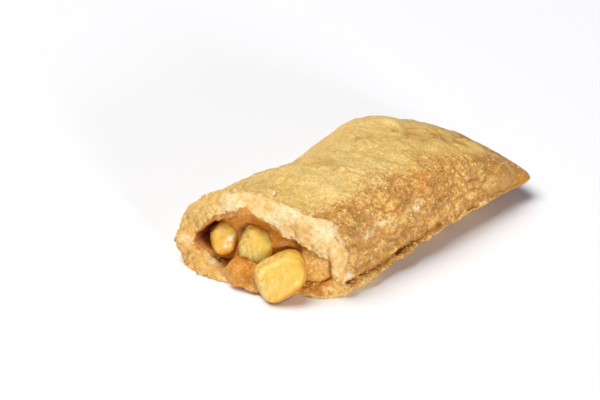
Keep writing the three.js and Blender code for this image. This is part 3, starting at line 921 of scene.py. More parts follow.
@dataclass
class Crust:
    """The fried crust: skin, torn dough and the lining of the hollow, as one closed piece.

    A scorch is its place along and up the near side, its strength and its size, and a pale
    streak is its place.
    """

    form: PieForm
    columns: int = 330
    hollow_rows: int = 20
    tear_rows: int = 38
    sleeve_rows: int = 226
    edge_rows: int = 8
    tear_blend_rows: int = 5
    edge_blend_rows: int = 40
    tear_width: float = 8.0
    sleeve_length: float = 95.0
    pebble_mm: float = 2.1
    pebble_height: float = 0.65
    wrinkle_mm: float = 4.5
    wrinkle_depth: float = 0.45
    plate_mm: float = 7.0
    plate_height: float = 0.8
    side_plate_mm: float = 5.2
    fleck_mm: float = 1.5
    fleck_height: float = 0.34
    seam_groove: float = 0.7
    peel_step: float = 0.35
    scorches: tuple = (
        (-13.8, 18.1, 1.3, 1.8), (-30.0, 13.4, 1.0, 1.3), (-23.0, 7.8, 1.2, 1.4),
        (-37.6, 10.0, 1.0, 1.1), (-32.9, 5.3, 1.2, 1.4), (-20.5, 14.2, 1.0, 1.5),
        (0.2, 21.5, 1.2, 1.8), (-2.2, 19.2, 0.9, 1.6), (8.1, 20.3, 0.9, 1.5),
        (14.3, 17.5, 0.8, 1.8), (4.2, 17.6, 0.7, 1.5),
    )
    pale_streaks: tuple = ((-26.7, 14.6), (-20.0, 16.2), (-6.8, 16.3), (-36.0, 6.5))
    base: Array = field(init=False)
    points: Array = field(init=False)
    normals: Array = field(init=False)
    zones: dict[str, Array] = field(init=False)

    def smooth_grid(self) -> Array:
        """Lay out the crust without relief.

        Returns:
            Rows by columns by three: the hollow from its inner end to the mouth, the torn
            face, the skin from the tear to the sealed end, and the rounded sealed edge.
        """
        form = self.form
        cosine, sine = form.even_turns(self.columns)
        depth = form.hollow_end * (np.linspace(1, 0, self.hollow_rows, endpoint=False) ** 1.6)
        hollow = form.hollow(depth[:, None], cosine, sine, 0.0)
        rim = form.skin(np.zeros(()), cosine, sine)
        rim[..., 2] = np.maximum(0, rim[..., 2])
        share = np.linspace(0, 1, self.tear_rows, endpoint=False)[:, None, None]
        torn = mix(form.mouth(cosine, sine)[None], rim[None], share)
        torn[..., 0] -= form.tear_bulge * np.sin(math.pi * share[..., 0])
        skin = form.skin(np.linspace(0, 1, self.sleeve_rows)[:, None], cosine, sine)
        quarter = np.linspace(0, math.pi / 2, self.edge_rows + 1)[1:]
        edge = form.sealed_edge(quarter[:, None], cosine, sine)
        return np.concatenate([hollow, torn, skin, edge])

    def row_shares(self) -> tuple[Array, Array, Array]:
        """Say what each row belongs to.

        Returns:
            How far it is torn dough, skin, and pinched edge, each as a column of shares.
        """
        mouth, start = self.hollow_rows, self.hollow_rows + self.tear_rows
        stop = start + self.sleeve_rows
        row = np.arange(stop + self.edge_rows)[:, None]
        torn = ease(mouth - 6, mouth, row) * (1 - ease(start, start + self.tear_blend_rows, row))
        skin = ease(start - self.tear_blend_rows, start + 2, row)
        return torn, skin, ease(stop - self.edge_blend_rows, stop, row)

    def past_skin_edge(self) -> Array:
        """Measure from the ragged edge of the brown skin.

        Returns:
            Millimetres past that edge, less than 0 where the skin is torn away.
        """
        base = self.base
        row = np.arange(len(base))[:, None] - (self.hollow_rows + self.tear_rows)
        before = row * self.tear_width / self.tear_rows
        past = np.where(row < 0, before, row * self.sleeve_length / self.sleeve_rows)
        ragged = 2.4 * layered_noise(base, 6.0, 311, 3) + 0.8 * layered_noise(base, 1.6, 317, 2)
        near = hill(base[..., 1], -22, 9) * ease(4.0, 12.0, base[..., 2])
        return past + ragged - 2.0 * near

    def past_mouth(self) -> Array:
        """Return millimetres outwards from the mouth, less than 0 inside the hollow."""
        distance = np.linalg.norm(self.base - self.base[self.hollow_rows], axis=-1)
        return np.concatenate([-distance[: self.hollow_rows], distance[self.hollow_rows :]])

    def swell(self) -> Array:
        """Return the height of the solid's waves and blisters, lower towards the back."""
        base = self.base
        bumps = 0.7 * noise(base, 13, 1) + 1.25 * blisters(base, 9, 5)
        bumps = bumps + 0.9 * blisters(base, 6, 13) - 0.45
        return bumps * mix(1.0, 0.72, ease(2.0, 12.0, base[..., 1]))

    def bubbles(self) -> tuple[Array, Array]:
        """Cover the skin with bubbles of two sizes.

        Returns:
            The height of each bubble's dome, and 1 in the gaps between bubbles.
        """
        bent = warped(warped(self.base, 3.0, 1.4, 201), 1.1, 0.5, 205)
        near, second = cells(bent, self.pebble_mm, 211)
        small, small_second = cells(bent, 0.55 * self.pebble_mm, 215)
        blended = ease(-0.2, 0.3, noise(self.base, 4.0, 219))
        dome = mix(1 - clamp01(near / 0.9) ** 2, 0.8 - 0.7 * clamp01(small / 0.9) ** 2, blended)
        gaps = (1 - clamp01(width / 0.3) for width in (second - near, small_second - small))
        return dome, mix(*gaps, blended)

    def seam_relief(self) -> tuple[Array, Array, Array]:
        """Work out the seam on the near side: a groove above a flaky lip.

        Returns:
            Heights, the share of the groove, and the share of the browned lip.
        """
        form, base = self.form, self.base
        x, y, z = np.moveaxis(base, -1, 0)
        share = clamp01((x - form.tear(y)) / (form.sealed(y) - form.tear(y)))
        gap = z - form.seam(share, y / form.half_width) - 1.4 + 0.35 * noise(base, 5.0, 281)
        near_side = ease(-17.0, -22.0, y) * ease(0.62, 0.3, share)
        groove = hill(gap, 0, 0.4) * near_side
        flaky = 0.5 + noise(base, 1.6, 285)
        height = -self.seam_groove * groove + 0.45 * flaky * hill(gap, -1.1, 0.8) * near_side
        height = height + hill(gap, 1.3, 1.0) * near_side
        return height, groove, 0.8 * hill(gap, -0.9, 1.2) * near_side

    def torn_relief(self) -> Array:
        """Work out the relief of the torn dough.

        Returns:
            Heights: crumbs on soft lumps, and creases that run round the tear between layers.
        """
        base = self.base
        ring = base[self.hollow_rows + self.tear_rows // 2]
        steps = np.linalg.norm(np.diff(ring, axis=0, append=ring[:1]), axis=-1)
        around = np.cumsum(steps)[None, :] + 0 * base[..., 0]
        width = np.linalg.norm(base - base[self.hollow_rows], axis=-1)
        sheet = join(around / 2.6, width * 1.15, 0 * width)
        layer = noise(sheet + 0.6 * noise(base, 3.0, 341)[..., None], 2.4, 345)
        crease = hill(layer, 0, 0.12)
        small = cells(warped(base, 1.5, 0.5, 355), 1.3, 365)[0]
        large = cells(warped(base, 3.5, 1.5, 371), 3.0, 375)[0]
        lip = ease(9.0, 5.0, base[..., 2]) * ease(-4.0, 4.0, base[..., 1])
        lumps = 0.4 * layered_noise(base, 3.4, 351, 4) + 0.5 * (0.5 - large**2)
        return lumps + mix(0.6, 1.0, lip) * (0.5 - small**2) - 0.3 * (1 - lip) * crease

    def build(self) -> None:
        """Work out the relief and the colour zones, and displace the grid by the relief."""
        base = self.base = self.smooth_grid()
        normal = grid_normals(base)
        if normal[len(base) // 2, self.columns // 4, 2] < 0:
            normal = -normal
        torn, skin, edge = self.row_shares()
        x, y, z = np.moveaxis(base, -1, 0)
        up = normal[..., 2]
        swell = self.swell()

        # The near shoulder fried hardest: bubbles with creases between them.
        shoulder = hill(y, -23, 7) * ease(1.0, 5.0, z) * ease(34.0, 16.0, x)
        patch = patches(base, -0.3, 0.5, 9, 221, 2)
        wedge = ease(8.0, 26.0, x - 0.25 * y) * ease(-0.1, 0.4, up) * ease(16.0, -4.0, y)
        strength = clamp01(0.14 + 0.26 * patch + 1.1 * shoulder * mix(0.6, 1.0, patch))
        strength = strength * (1 - 0.8 * wedge)
        dome, gap = self.bubbles()
        pebbles = self.pebble_height * strength * (dome - 0.5 - 0.35 * gap)

        # The near side: smooth plates between browned creases, crumbly only in patches.
        side = ease(-16.0, -22.5, y) * ease(1.5, 5.0, z) * ease(40.0, 26.0, x)
        crumbly = mix(1.0, patches(base, -0.15, 0.3, 5.0, 291, 2), side)
        pebbles = pebbles * mix(0.25, 1.0, crumbly)
        side_near, side_second = cells(warped(base, 4.0, 1.8, 293), self.side_plate_mm, 297)
        side_crack = hill(side_second - side_near, 0, 0.12) * side
        bulge = side * layered_noise(base, 4.6, 303, 2)
        browned = side * ease(0.1, 0.5, layered_noise(base, 3.4, 299, 3) - 0.4 * bulge)

        # Wrinkles: soft creases where noise crosses zero.
        fold = noise(warped(base, 5.0, 1.8, 231), self.wrinkle_mm, 241)
        wrinkle = hill(fold, 0, 0.13) * mix(0.3, 0.8, patch)

        # The flat sealed end cracks into larger plates.
        bent = warped(warped(base, 5.0, 2.6, 251), 1.8, 0.7, 255)
        plate_near, plate_second = cells(bent, self.plate_mm, 261)
        broken = patches(base, -0.2, 0.35, 6.0, 345, 2)
        crack = broken * hill(plate_second - plate_near, 0, 0.11)
        plate = 0.6 * mix(0.4, 1.0, broken) * (0.6 - plate_near**2) - 0.55 * crack
        plates = self.plate_height * wedge * plate
        plates = plates + side * 0.6 * (0.5 - side_near**2) - 0.55 * side_crack + 0.6 * bulge

        flecks = self.fleck_height * layered_noise(base, self.fleck_mm, 271, 3)
        flecks = flecks + 0.3 * layered_noise(warped(base, 4.0, 1.5, 275), 2.8, 277, 2)
        flecks = flecks * mix(0.45, 1.9, strength * crumbly) * (1 - 0.6 * wedge)
        fine = pebbles - self.wrinkle_depth * wrinkle + plates + flecks

        seam, groove, browned_lip = self.seam_relief()
        past = self.past_skin_edge()
        peeled = ease(0.4, -0.4, past)
        step = self.peel_step * (1 - peeled) * ease(4.6, 0.8, past)
        step = step + 0.7 * hill(x, 44, 5) * hill(y, -24, 4) * ease(0.3, -0.4, up)
        under = mix(0.3, 1.0, ease(-0.8, 0.2, up)) * mix(1.0, 0.75, ease(4.0, 18.0, y))
        fine = mix(1.0, 0.35, edge) * fine * (1 - 0.7 * peeled)
        skin_height = skin * under * (mix(1.0, 0.25, edge) * swell + fine) + skin * (seam + step)

        facing = ease(0.1, 0.7, -normal[..., 0])
        ragged = 2.6 * noise(base, 6, 71) + 1.3 * noise(base, 4.2, 83)
        torn_relief = self.torn_relief()
        torn_height = torn * (0.5 * facing * ragged + torn_relief)

        self.points = base + normal * (skin_height + torn_height)[..., None]
        self.points[[0, -1]] = base[[0, -1]]
        self.points[..., 2] = np.maximum(0, self.points[..., 2])
        self.normals = normal
        self.mark_zones(peeled, {
            # Height for the skin's gold: painted shade in gaps and wrinkles, painted light on
            # bubble tops.
            "skin_relief_shade": 0.5 + 0.55 * strength * (dome - 0.55) - 0.25 * wrinkle + 0.16 * swell,
            # Crease brown: painted shade in gaps, cracks, wrinkles and the groove; frying's brown
            # at the tip, sealed end and patches.
            "crease": sum((
                1.4 * strength**1.5 * gap * crumbly,
                0.95 * wedge * crack,
                0.5 * wrinkle * patch,
                1.5 * groove,
                0.9 * side_crack,
                0.55 * browned,
                0.5 * (wedge * patches(base, 0.05, 0.6, 8.0, 263, 2)),
                1.3 * hill(x, 50, 4.5) * hill(y, -23, 7),
                1.2 * ease(35.0, 48.0, x) * mix(0.4, 1.0, patches(base, -0.3, 0.3, 5.0, 343, 3)),
                1.2 * ease(22.0, 34.0, x) * ease(-16.0, -22.0, y)
                * patches(base, -0.5, 0.2, 4.0, 341, 3),
                0.6 * hill(past, 0.5, 0.45) * ease(-0.1, 0.4, noise(base, 3.0, 319)),
            )),
            "toast": sum((
                0.75 * shoulder,
                0.3 * side,
                0.5 * ease(26.0, 40.0, x) * ease(-14.0, -21.0, y),
                0.6 * ease(12.0, 18.0, y) * patches(base, 0.0, 0.5, 11.0, 349, 3),
                0.3 * wedge,
                # Faces that turn down take the darker orange too.
                0.5 * ease(0.1, -0.6, up),
                browned_lip,
            )),
            "fry": 0.3 * (1 - wedge) + 0.8 * shoulder + side,
            # Height for the dough's colour: painted shade in the valleys, painted light on the
            # tops.
            "torn_relief_shade": 0.66 + 0.6 * torn_relief,
        })

    def mark_zones(self, peeled: Array, zones: dict[str, Array]) -> None:
        """Keep the shares that the finish reads.

        Args:
            peeled: Where the brown skin is torn away.
            zones: Shares that the relief already gave.
        """
        base = self.base
        x, y, z = np.moveaxis(base, -1, 0)
        inner = self.past_mouth()
        wander = noise(base, 3.2, 321)
        shelf = ease(7.0, 12.0, y + 2 * wander) * ease(9.0, 13.0, z)
        near = hill(y, -24, 4)
        scorch = sum(
            near * strength * hill(x, px, size) * hill(z, pz, size)
            for px, pz, strength, size in self.scorches
        )
        scorch = scorch + 0.8 * hill(x, 47, 7) * hill(y, -24, 9)
        flake = sum(near * hill(x, px, 2.3) * hill(z, pz, 0.8) for px, pz in self.pale_streaks)
        low = ease(9.0, 3.0, z + 2 * wander)
        zones["crumb"] = peeled * (1 - 0.6 * shelf)
        zones["golden"] = peeled * (
            0.12 + 0.7 * noise(base, 4.0, 327) + 0.6 * noise(base, 1.1, 329)
            + low + 0.6 * shelf + 0.5 * ease(8.0, 16.0, y) + 0.4 * ease(-9.0, -19.0, y)
        )
        reach = 1.5 + 2.4 * hill(y, 2, 4.5) * ease(10.0, 16.0, z) + 1.7 * low
        reach = reach + 3.0 * ease(5.0, 3.0, z) * ease(-11.0, -15.0, y)
        soak = 1 - (inner + wander) / reach + 0.4 * noise(base, 1.6, 333)
        soak = soak + 0.25 * noise(base, 0.8, 335)
        zones["stain"] = 0.78 * ease(0.2, 0.75, soak)
        # Where shade is painted: inside the hollow, at its far upper corner.
        zones["painted_hollow_shade"] = ease(0.4, -0.4, inner) * ease(11.0, 14.0, y) * ease(5.5, 9.0, z + wander)
        zones["scorch"] = scorch * (0.8 + 1.1 * layered_noise(base, 1.8, 331, 2))
        zones["flake"] = flake * (0.8 + 1.4 * layered_noise(base, 1.3, 337, 2))
        self.zones = {name: clamp01(values) for name, values in zones.items()}

    def dress(self) -> Thing:
        """Make the mesh, store its zones and give it its finish.

        Returns:
            The crust, standing for the solid crust.
        """
        thing = solid_from_grid("fried_crust", self.points, Pinch.LINE)
        for name, values in self.zones.items():
            store_grid(thing, name, np.broadcast_to(values, self.points.shape[:2]), Pinch.LINE)
        dress(thing, FriedPastry().make(), "crust")
        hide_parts("crust")
        return thing


# ---- the filling


@dataclass
class Filling:
    """The gel that fills the pie, with a grainy face and a drip that runs over the lip.

    A web of gel is its place across and up the face, its width and how far it stands out.
    """

    form: PieForm
    drip: "Drip"
    columns: int = 320
    sleeve_rows: int = 20
    front_rows: int = 110
    inset: float = 0.15
    face_recess: float = 3.8
    web_height: float = 4.5
    webs: tuple = (
        (3.6, 6.0, 2.0, 3.0), (-7.0, 11.0, 2.2, 2.6), (10.0, 3.5, 3.8, 3.2),
        (-17.0, 5.0, 3.5, 1.2), (-17.5, 11.5, 4.0, 1.4), (15.5, 4.5, 2.6, 2.2),
    )

    def recess(self, y: Array, z: Array) -> Array:
        """Work out how far back from the tear line the face lies.

        Args:
            y: Place across the face.
            z: Place up the face.

        Returns:
            Millimetres, more at the far side and the top, less where the gel laps out low
            down, at the near side and on a ledge below the far chunk.
        """
        far = 3.5 * hill(y, 14, 4) * hill(z, 9, 6)
        top = 4.5 * hill(y, -10, 6) * ease(12.0, 17.0, z)
        lap = 3.0 * hill(y, -9, 12) * ease(8.0, 4.0, z)
        near = 3.4 * hill(y, -20, 6) * ease(16.0, 9.0, z)
        ledge = 3.2 * hill(y, 11, 4) * ease(7.5, 4.0, z)
        return self.face_recess + far + top - np.maximum(np.maximum(lap, near), ledge)

    def grid(self) -> Array:
        """Lay out the filling.

        Returns:
            Rows by columns by three: the sleeve from its inner end to the face, then the
            face closing in on itself, with lumps and grain, and webs of gel that stand
            forward between the chunks.
        """
        form = self.form
        turn = np.linspace(0, 2 * math.pi, self.columns, endpoint=False)[: self.columns // 2 + 1]
        cosine, sine = mirrored(np.cos(turn), np.sin(turn))
        rim = form.hollow(np.zeros(()), cosine, sine, self.inset)
        length = form.sealed(rim[..., 1]) - form.tear(rim[..., 1])
        start = self.recess(rim[..., 1], rim[..., 2]) / length
        end = form.hollow_end - self.inset / form.inner_length
        share = np.linspace(0, 1, self.sleeve_rows)[:, None] ** 0.6
        sleeve = form.hollow(mix(end, start, share), cosine, sine, self.inset)
        inward = 1 - np.linspace(0, 1, self.front_rows + 1)[1:, None]
        y = mix(form.mouth_y, sleeve[-1, :, 1], np.sqrt(inward))
        z = mix((form.crown - form.roof + form.floor) / 2, sleeve[-1, :, 2], inward)
        flat = join(0 * y, y, z)
        inside = 1 - inward**6
        mashed = ease(-13.0, -17.0, y)
        small = cells(warped(flat, 1.6, 0.5, 97), 1.4, 103)[0]
        grain = layered_noise(flat, 2.4, 95, 4) * mix(0.35, 0.6, mashed)
        grain = grain - (0.5 - small**2) * mix(0.25, 0.9, mashed)
        webs = sum(
            reach * hill(y, py, width) * hill(z, pz, self.web_height)
            for py, pz, width, reach in self.webs
        )
        x = form.tear(y) + self.recess(y, z) + 0.9 * noise(flat, 5, 91) * inside
        x = x + (grain - webs) * inside
        return np.concatenate([sleeve, join(x, y, z)])

    def dress(self) -> Thing:
        """Make the mesh, join the drip to it and give it its finish.

        Returns:
            The filling, standing for the solid filling.
        """
        thing = solid_from_grid("caramel_filling", self.grid(), Pinch.LINE)
        fuse(thing, self.drip.solid())
        places = vertex_places(thing)
        x, y = places[:, 0], places[:, 1]
        depth = x - self.form.tear(y) + 0.8 * noise(places, 2.2, 105)
        out = ease(1.0, -1.5, depth) * (0.5 + 0.8 * noise(places, 1.8, 107))
        # Painted shade: the gel darkens the deeper it lies behind the tear.
        store(thing, "depth", ease(4.4, 7.5, depth))
        mash = ease(-14.5, -17.5, y + noise(places, 2.5, 101)) + 0.7 * out
        store(thing, "mash", clamp01(mash))
        dress(thing, CaramelGel().make(), "filling")
        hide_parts("filling")
        return thing


# ---- lumps


def ball_directions(rows: int, columns: int) -> Array:
    """Return unit directions over a ball: rows from the top down, columns round."""
    polar = np.linspace(0, math.pi, rows)[:, None]
    turn = np.linspace(0, 2 * math.pi, columns, endpoint=False)
    ring = np.sin(polar)
    return join(ring * np.cos(turn), ring * np.sin(turn), np.cos(polar) + 0 * turn)


def lump_points(centre: tuple, way: Array, reach: Array) -> Array:
    """Return centre + direction times reach, kept just clear of the floor."""
    points = way * reach[..., None] + np.array(centre)
    points[..., 2] = np.maximum(0.4, points[..., 2])
    return points


@dataclass(frozen=True)
class Drip:
    """The gel that has run over the lower lip: a superellipsoid turned about Z."""

    centre: tuple[float, float, float] = (-50.0, -3.0, 4.0)
    half: tuple[float, float, float] = (4.8, 7.0, 4.1)
    turn: float = 0.29
    power: float = 3.2
    seed: int = 51
    rows: int = 90
    columns: int = 140

    def solid(self) -> Thing:
        """Make the drip.

        Returns:
            The superellipsoid with the solid's dents, and finer runs and bubbles.
        """
        way = ball_directions(self.rows, self.columns)
        dent = 0.45 * noise(way * 8, 5, self.seed)
        cosine, sine = math.cos(self.turn), math.sin(self.turn)
        local = way @ np.array([[cosine, -sine, 0], [sine, cosine, 0], [0, 0, 1]])
        share = np.abs(local) / (np.array(self.half) + dent[..., None])
        reach = (share**self.power).sum(axis=-1) ** (-1 / self.power)
        place = way * reach[..., None]
        small = cells(warped(place, 1.6, 0.5, 415), 1.3, 421)[0]
        reach = reach + 0.35 * noise(place * (1, 1, 0.35), 2.6, 401)
        reach = reach + 0.35 * blisters(place, 2.2, 405) + 0.4 * (0.5 - small**2)
        reach = reach + 0.22 * layered_noise(place, 1.6, 425, 3)
        points = lump_points(self.centre, way, reach - 0.25)
        return solid_from_grid("gel_drip", points, Pinch.POINT)


@dataclass
class AppleChunk:
    """One cut piece of cooked apple: a block between cut faces, rounded at their edges.

    A face is an angle and a tilt in degrees and its distance from the centre in millimetres.
    The angle turns from the right towards the top for an eye that looks into the tear, and a
    tilt of 90 faces that eye.
    """

    node: str
    seed: int
    centre: tuple[float, float, float]
    faces: tuple[tuple[float, float, float], ...]
    crumbly: float
    # Shifts the whole chunk towards the syrup colour; on the left chunk, under the roof, this is
    # painted shade.
    glaze_and_shade: float = 0.0
    # How much painted light the side turned to the lamp takes.
    pale: float = 1.0
    rows: int = 130
    columns: int = 190
    view_turn: float = 46.3
    view_lift: float = 27.0
    power: float = 5.5
    points: Array = field(init=False)
    normals: Array = field(init=False)

    def view_axes(self) -> Array:
        """Return the right, up and forward directions of the eye that faces are given for."""
        turn, lift = math.radians(-self.view_turn), math.radians(self.view_lift)
        right = np.array([math.cos(turn), math.sin(turn), 0.0])
        flat, rise = math.cos(lift), math.sin(lift)
        forward = np.array([flat * math.sin(turn), -flat * math.cos(turn), rise])
        return np.array([right, np.cross(forward, right), forward])

    def build(self) -> None:
        """Work out the chunk.

        In each direction the faces' inverse distances are summed to a high power, which
        gives their polyhedron with rounded edges; dents, fibres and crumbs are added.
        """
        way = ball_directions(self.rows, self.columns)
        angle, tilt, distance = np.array(self.faces).T
        angle, tilt = np.radians(angle), np.radians(tilt)
        flat = np.cos(tilt)
        local = np.array([np.cos(angle) * flat, np.sin(angle) * flat, np.sin(tilt)])
        lean = np.maximum(0, way @ (self.view_axes().T @ local))
        dent = 0.45 * noise(way * 8, 5, self.seed)
        share = lean / (distance + dent[..., None])
        reach = (share**self.power).sum(axis=-1) ** (-1 / self.power)
        place = way * reach[..., None]
        left = ease(0.25, -0.75, way @ self.view_axes()[0])
        fibres = 0.12 * layered_noise(place * (1, 1, 0.4), 1.6, self.seed + 7, 3)
        pits = 0.2 * layered_noise(place, 3.0, self.seed + 17, 2)
        crumbs = self.crumbly * left * layered_noise(place, 1.3, self.seed + 27, 2)
        self.points = lump_points(self.centre, way, reach + fibres + pits + crumbs - 0.1)
        normals = grid_normals(self.points)
        outward = ((self.points - np.array(self.centre)) * normals).sum() > 0
        self.normals = normals if outward else -normals

    def dress(self, material: Material) -> Thing:
        """Make the mesh, mark where syrup gathers, paint shade at the edges and light on the
        side turned to the lamp, and give it its finish.

        Args:
            material: The shared apple material.

        Returns:
            The chunk, standing for its solid.
        """
        name = self.node.replace("apple_", "apple_chunk_")
        thing = solid_from_grid(name, self.points, Pinch.POINT)
        right, rise, forward = (self.normals @ axis for axis in self.view_axes())
        wander = 0.3 * noise(self.points, 2.6, self.seed + 3)
        # Syrup colour at edges turned from the eye, more on the right, away from the lamp: partly
        # the syrup film where the chunk meets the gel, partly painted shade.
        edge = ease(0.75, 0.1, forward + wander) * mix(0.5, 1.0, ease(-0.6, 0.6, right))
        # Undersides take it too, where syrup gathers; the chunk's glaze value shifts all of it, as
        # painted shade on the left chunk under the roof.
        syrup_and_shade = self.glaze_and_shade + 0.8 * edge + 0.5 * ease(-0.2, -0.9, rise + wander)
        store_grid(thing, "syrup_and_shade", clamp01(syrup_and_shade), Pinch.POINT)
        # Paler where the surface turns left, towards the lamp: painted light.
        pale = self.pale * ease(0.1, -0.7, right + wander)
        store_grid(thing, "pale", clamp01(pale), Pinch.POINT)
        dress(thing, material, "apple")
        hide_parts(self.node)
        return thing


# ---- loose bits


class Shape(Enum):
    """The form of one loose bit."""

    GRAIN = "an uneven block of six faces"
    CRUMB = "an uneven ball"
    FLAKE = "a thin curved scrap"


def ball_template(rows: int, columns: int) -> tuple[Array, Array]:
    """Make a small ball, its poles tiny rings that are shut by quads.

    Args:
        rows: Rings of points.
        columns: Points in a ring, an even number.

    Returns:
        The points, half a unit from the centre, and the quads.
    """
    way = ball_directions(rows + 2, columns)[1:-1]
    index = np.arange(rows * columns).reshape(rows, columns)
    following = np.roll(index, -1, axis=1)
    sides = join(index[:-1], index[1:], following[1:], following[:-1])
    rings = index[0], index[-1][::-1]
    steps = range(1, columns - 2, 2)
    caps = [ring[[0, step, step + 1, step + 2]] for ring in rings for step in steps]
    return way.reshape(-1, 3) / 2, np.concatenate([sides.reshape(-1, 4), np.array(caps)])


def flake_template(steps: int) -> tuple[Array, Array]:
    """Make a thin square scrap, bent, with a pinched rim.

    Args:
        steps: Points along a side.

    Returns:
        The points, a unit across, and the quads of its top, underside and rim.
    """
    along = np.linspace(-0.5, 0.5, steps)
    u, v = np.meshgrid(along, along, indexing="ij")
    thick = 0.11 * (1 - 0.8 * np.maximum(np.abs(2 * u), np.abs(2 * v)) ** 3)
    bend = 0.9 * (u * u + 0.3 * u * v)
    places = [join(u, v, bend + half).reshape(-1, 3) for half in (thick, -thick)]
    index = np.arange(steps * steps).reshape(steps, steps)
    quads = join(index[:-1, :-1], index[1:, :-1], index[1:, 1:], index[:-1, 1:]).reshape(-1, 4)
    rim = np.concatenate([index[0], index[1:, -1], index[-1, -2::-1], index[-2:0:-1, 0]])
    after = np.roll(rim, -1)
    side = join(rim, after, after + index.size, rim + index.size)
    return np.concatenate(places), np.concatenate([quads, quads[:, ::-1] + index.size, side])


def template(shape: Shape) -> tuple[Array, Array]:
    """Return the points, about one unit across, and the quads of a loose bit."""
    if shape is Shape.FLAKE:
        return flake_template(4)
    return ball_template(2, 4) if shape is Shape.GRAIN else ball_template(4, 6)


def random_turns(draw: np.random.Generator, count: int) -> Array:
    """Draw random rotations.

    Args:
        draw: The seeded generator.
        count: How many.

    Returns:
        Count by three by three matrices, from unit quaternions.
    """
    quaternions = draw.normal(size=(count, 4))
    w, x, y, z = (quaternions / np.linalg.norm(quaternions, axis=1, keepdims=True)).T
    rows = [
        [1 - 2 * (y * y + z * z), 2 * (x * y - w * z), 2 * (x * z + w * y)],
        [2 * (x * y + w * z), 1 - 2 * (x * x + z * z), 2 * (y * z - w * x)],
        [2 * (x * z - w * y), 2 * (y * z + w * x), 1 - 2 * (x * x + y * y)],
    ]
    return np.moveaxis(np.array(rows), -1, 0)


def surface_turns(draw: np.random.Generator, normals: Array, tilt: float) -> Array:
    """Draw rotations that lay bits on a surface.

    Args:
        draw: The seeded generator.
        normals: The surface's direction under each bit.
        tilt: How far a bit may lean, as a share of its height to its width.

    Returns:
        Count by three by three matrices whose third column leans about the normal.
    """
    upward = normals + tilt * draw.normal(size=normals.shape)
    upward /= np.linalg.norm(upward, axis=1, keepdims=True)
    side = np.cross(upward, draw.normal(size=normals.shape))
    side /= np.linalg.norm(side, axis=1, keepdims=True)
    return join(side, np.cross(upward, side), upward)


@dataclass(frozen=True)
class Surface:
    """Places that loose bits can lie on: points, their normals and how likely each is."""

    points: Array
    normals: Array
    weight: Array

    @classmethod
    def of(cls, piece: "Crust | AppleChunk", weight: Array) -> "Surface":
        """Flatten the grids of a piece, with a weight for each point."""
        weight = np.maximum(0, weight).ravel()
        return cls(piece.points.reshape(-1, 3), piece.normals.reshape(-1, 3), weight)

    @classmethod
    def joined(cls, parts: list["Surface"]) -> "Surface":
        """Put several surfaces together."""
        names = ("points", "normals", "weight")
        return cls(*(np.concatenate([getattr(part, name) for part in parts]) for name in names))


@dataclass(frozen=True)
class Scatter:
    """Loose bits of one kind, strewn over a surface and joined into one mesh."""

    name: str
    finish: Speck
    shape: Shape
    count: int
    size_mm: tuple[float, float, float]
    spread: float
    sink_mm: float
    seed: int
    slot: str = "crust"
    flake_tilt: float = 0.45
    floor_gap: float = 0.05

    def build(self, surface: Surface) -> Thing:
        """Strew the bits and give them their finish.

        Args:
            surface: Where they may lie.

        Returns:
            One object with every bit, each turned at random and uneven in size.
        """
        draw = np.random.default_rng(self.seed)
        form, faces = template(self.shape)
        weight = surface.weight / surface.weight.sum()
        chosen = draw.choice(len(weight), self.count, p=weight)
        scale = np.exp(draw.normal(0, self.spread, (self.count, 1, 1)))
        bits = form[None] * np.array(self.size_mm) * scale
        bits = bits * draw.uniform(0.78, 1.22, (self.count, len(form), 1))
        turns = random_turns(draw, self.count)
        normals = surface.normals[chosen]
        if self.shape is Shape.FLAKE:
            turns = surface_turns(draw, normals, self.flake_tilt)
        bits = np.einsum("nij,nkj->nki", turns, bits)
        bits = bits + (surface.points[chosen] - normals * self.sink_mm)[:, None]
        bits[..., 2] += np.maximum(0, self.floor_gap - bits[..., 2].min(axis=1))[:, None]
        quads = faces[None] + len(form) * np.arange(self.count)[:, None, None]
        thing = mesh_object(self.name, bits.reshape(-1, 3), [quads.reshape(-1, 4)])
        dress(thing, self.finish.make(), self.slot)
        return thing


KINDS = (
    # Sugar strewn on the hot skin: small glossy pale grains that catch the light.
    Scatter("sugar_grains", Speck("crystal_sugar", "#ecd6a2", "#f8eacb", 0.3),
            Shape.GRAIN, 160, (0.36, 0.33, 0.3), 0.3, 0.0, 501),
    # Crumbs of the torn dough, dry and pale gold, that roughen the tear.
    Scatter("dough_crumbs", Speck("fried_dough_crumbs", "#dcab58", "#f3d592"),
            Shape.CRUMB, 900, (0.42, 0.38, 0.32), 0.35, 0.12, 502),
    # Crumbs of dough that the oil browned on the skin, in clusters low on the near side.
    Scatter("skin_crumbs", Speck("browned_pastry_crumbs", "#c58432", "#e6b45e"),
            Shape.CRUMB, 2000, (0.6, 0.5, 0.36), 0.3, 0.24, 505),
    # Scraps of dough pulled off in the tear: thin, matt and palest.
    Scatter("dough_flakes", Speck("pale_dough_flakes", "#e0b568", "#f1d69a"),
            Shape.FLAKE, 60, (0.9, 0.7, 0.4), 0.3, 0.15, 503),
    # Ground bark cooked in the filling: matt brown specks on the apple.
    Scatter("cinnamon_specks", Speck("ground_cinnamon", "#b06c28", "#d49744"),
            Shape.GRAIN, 420, (0.3, 0.26, 0.12), 0.3, 0.02, 504, "filling"),
)


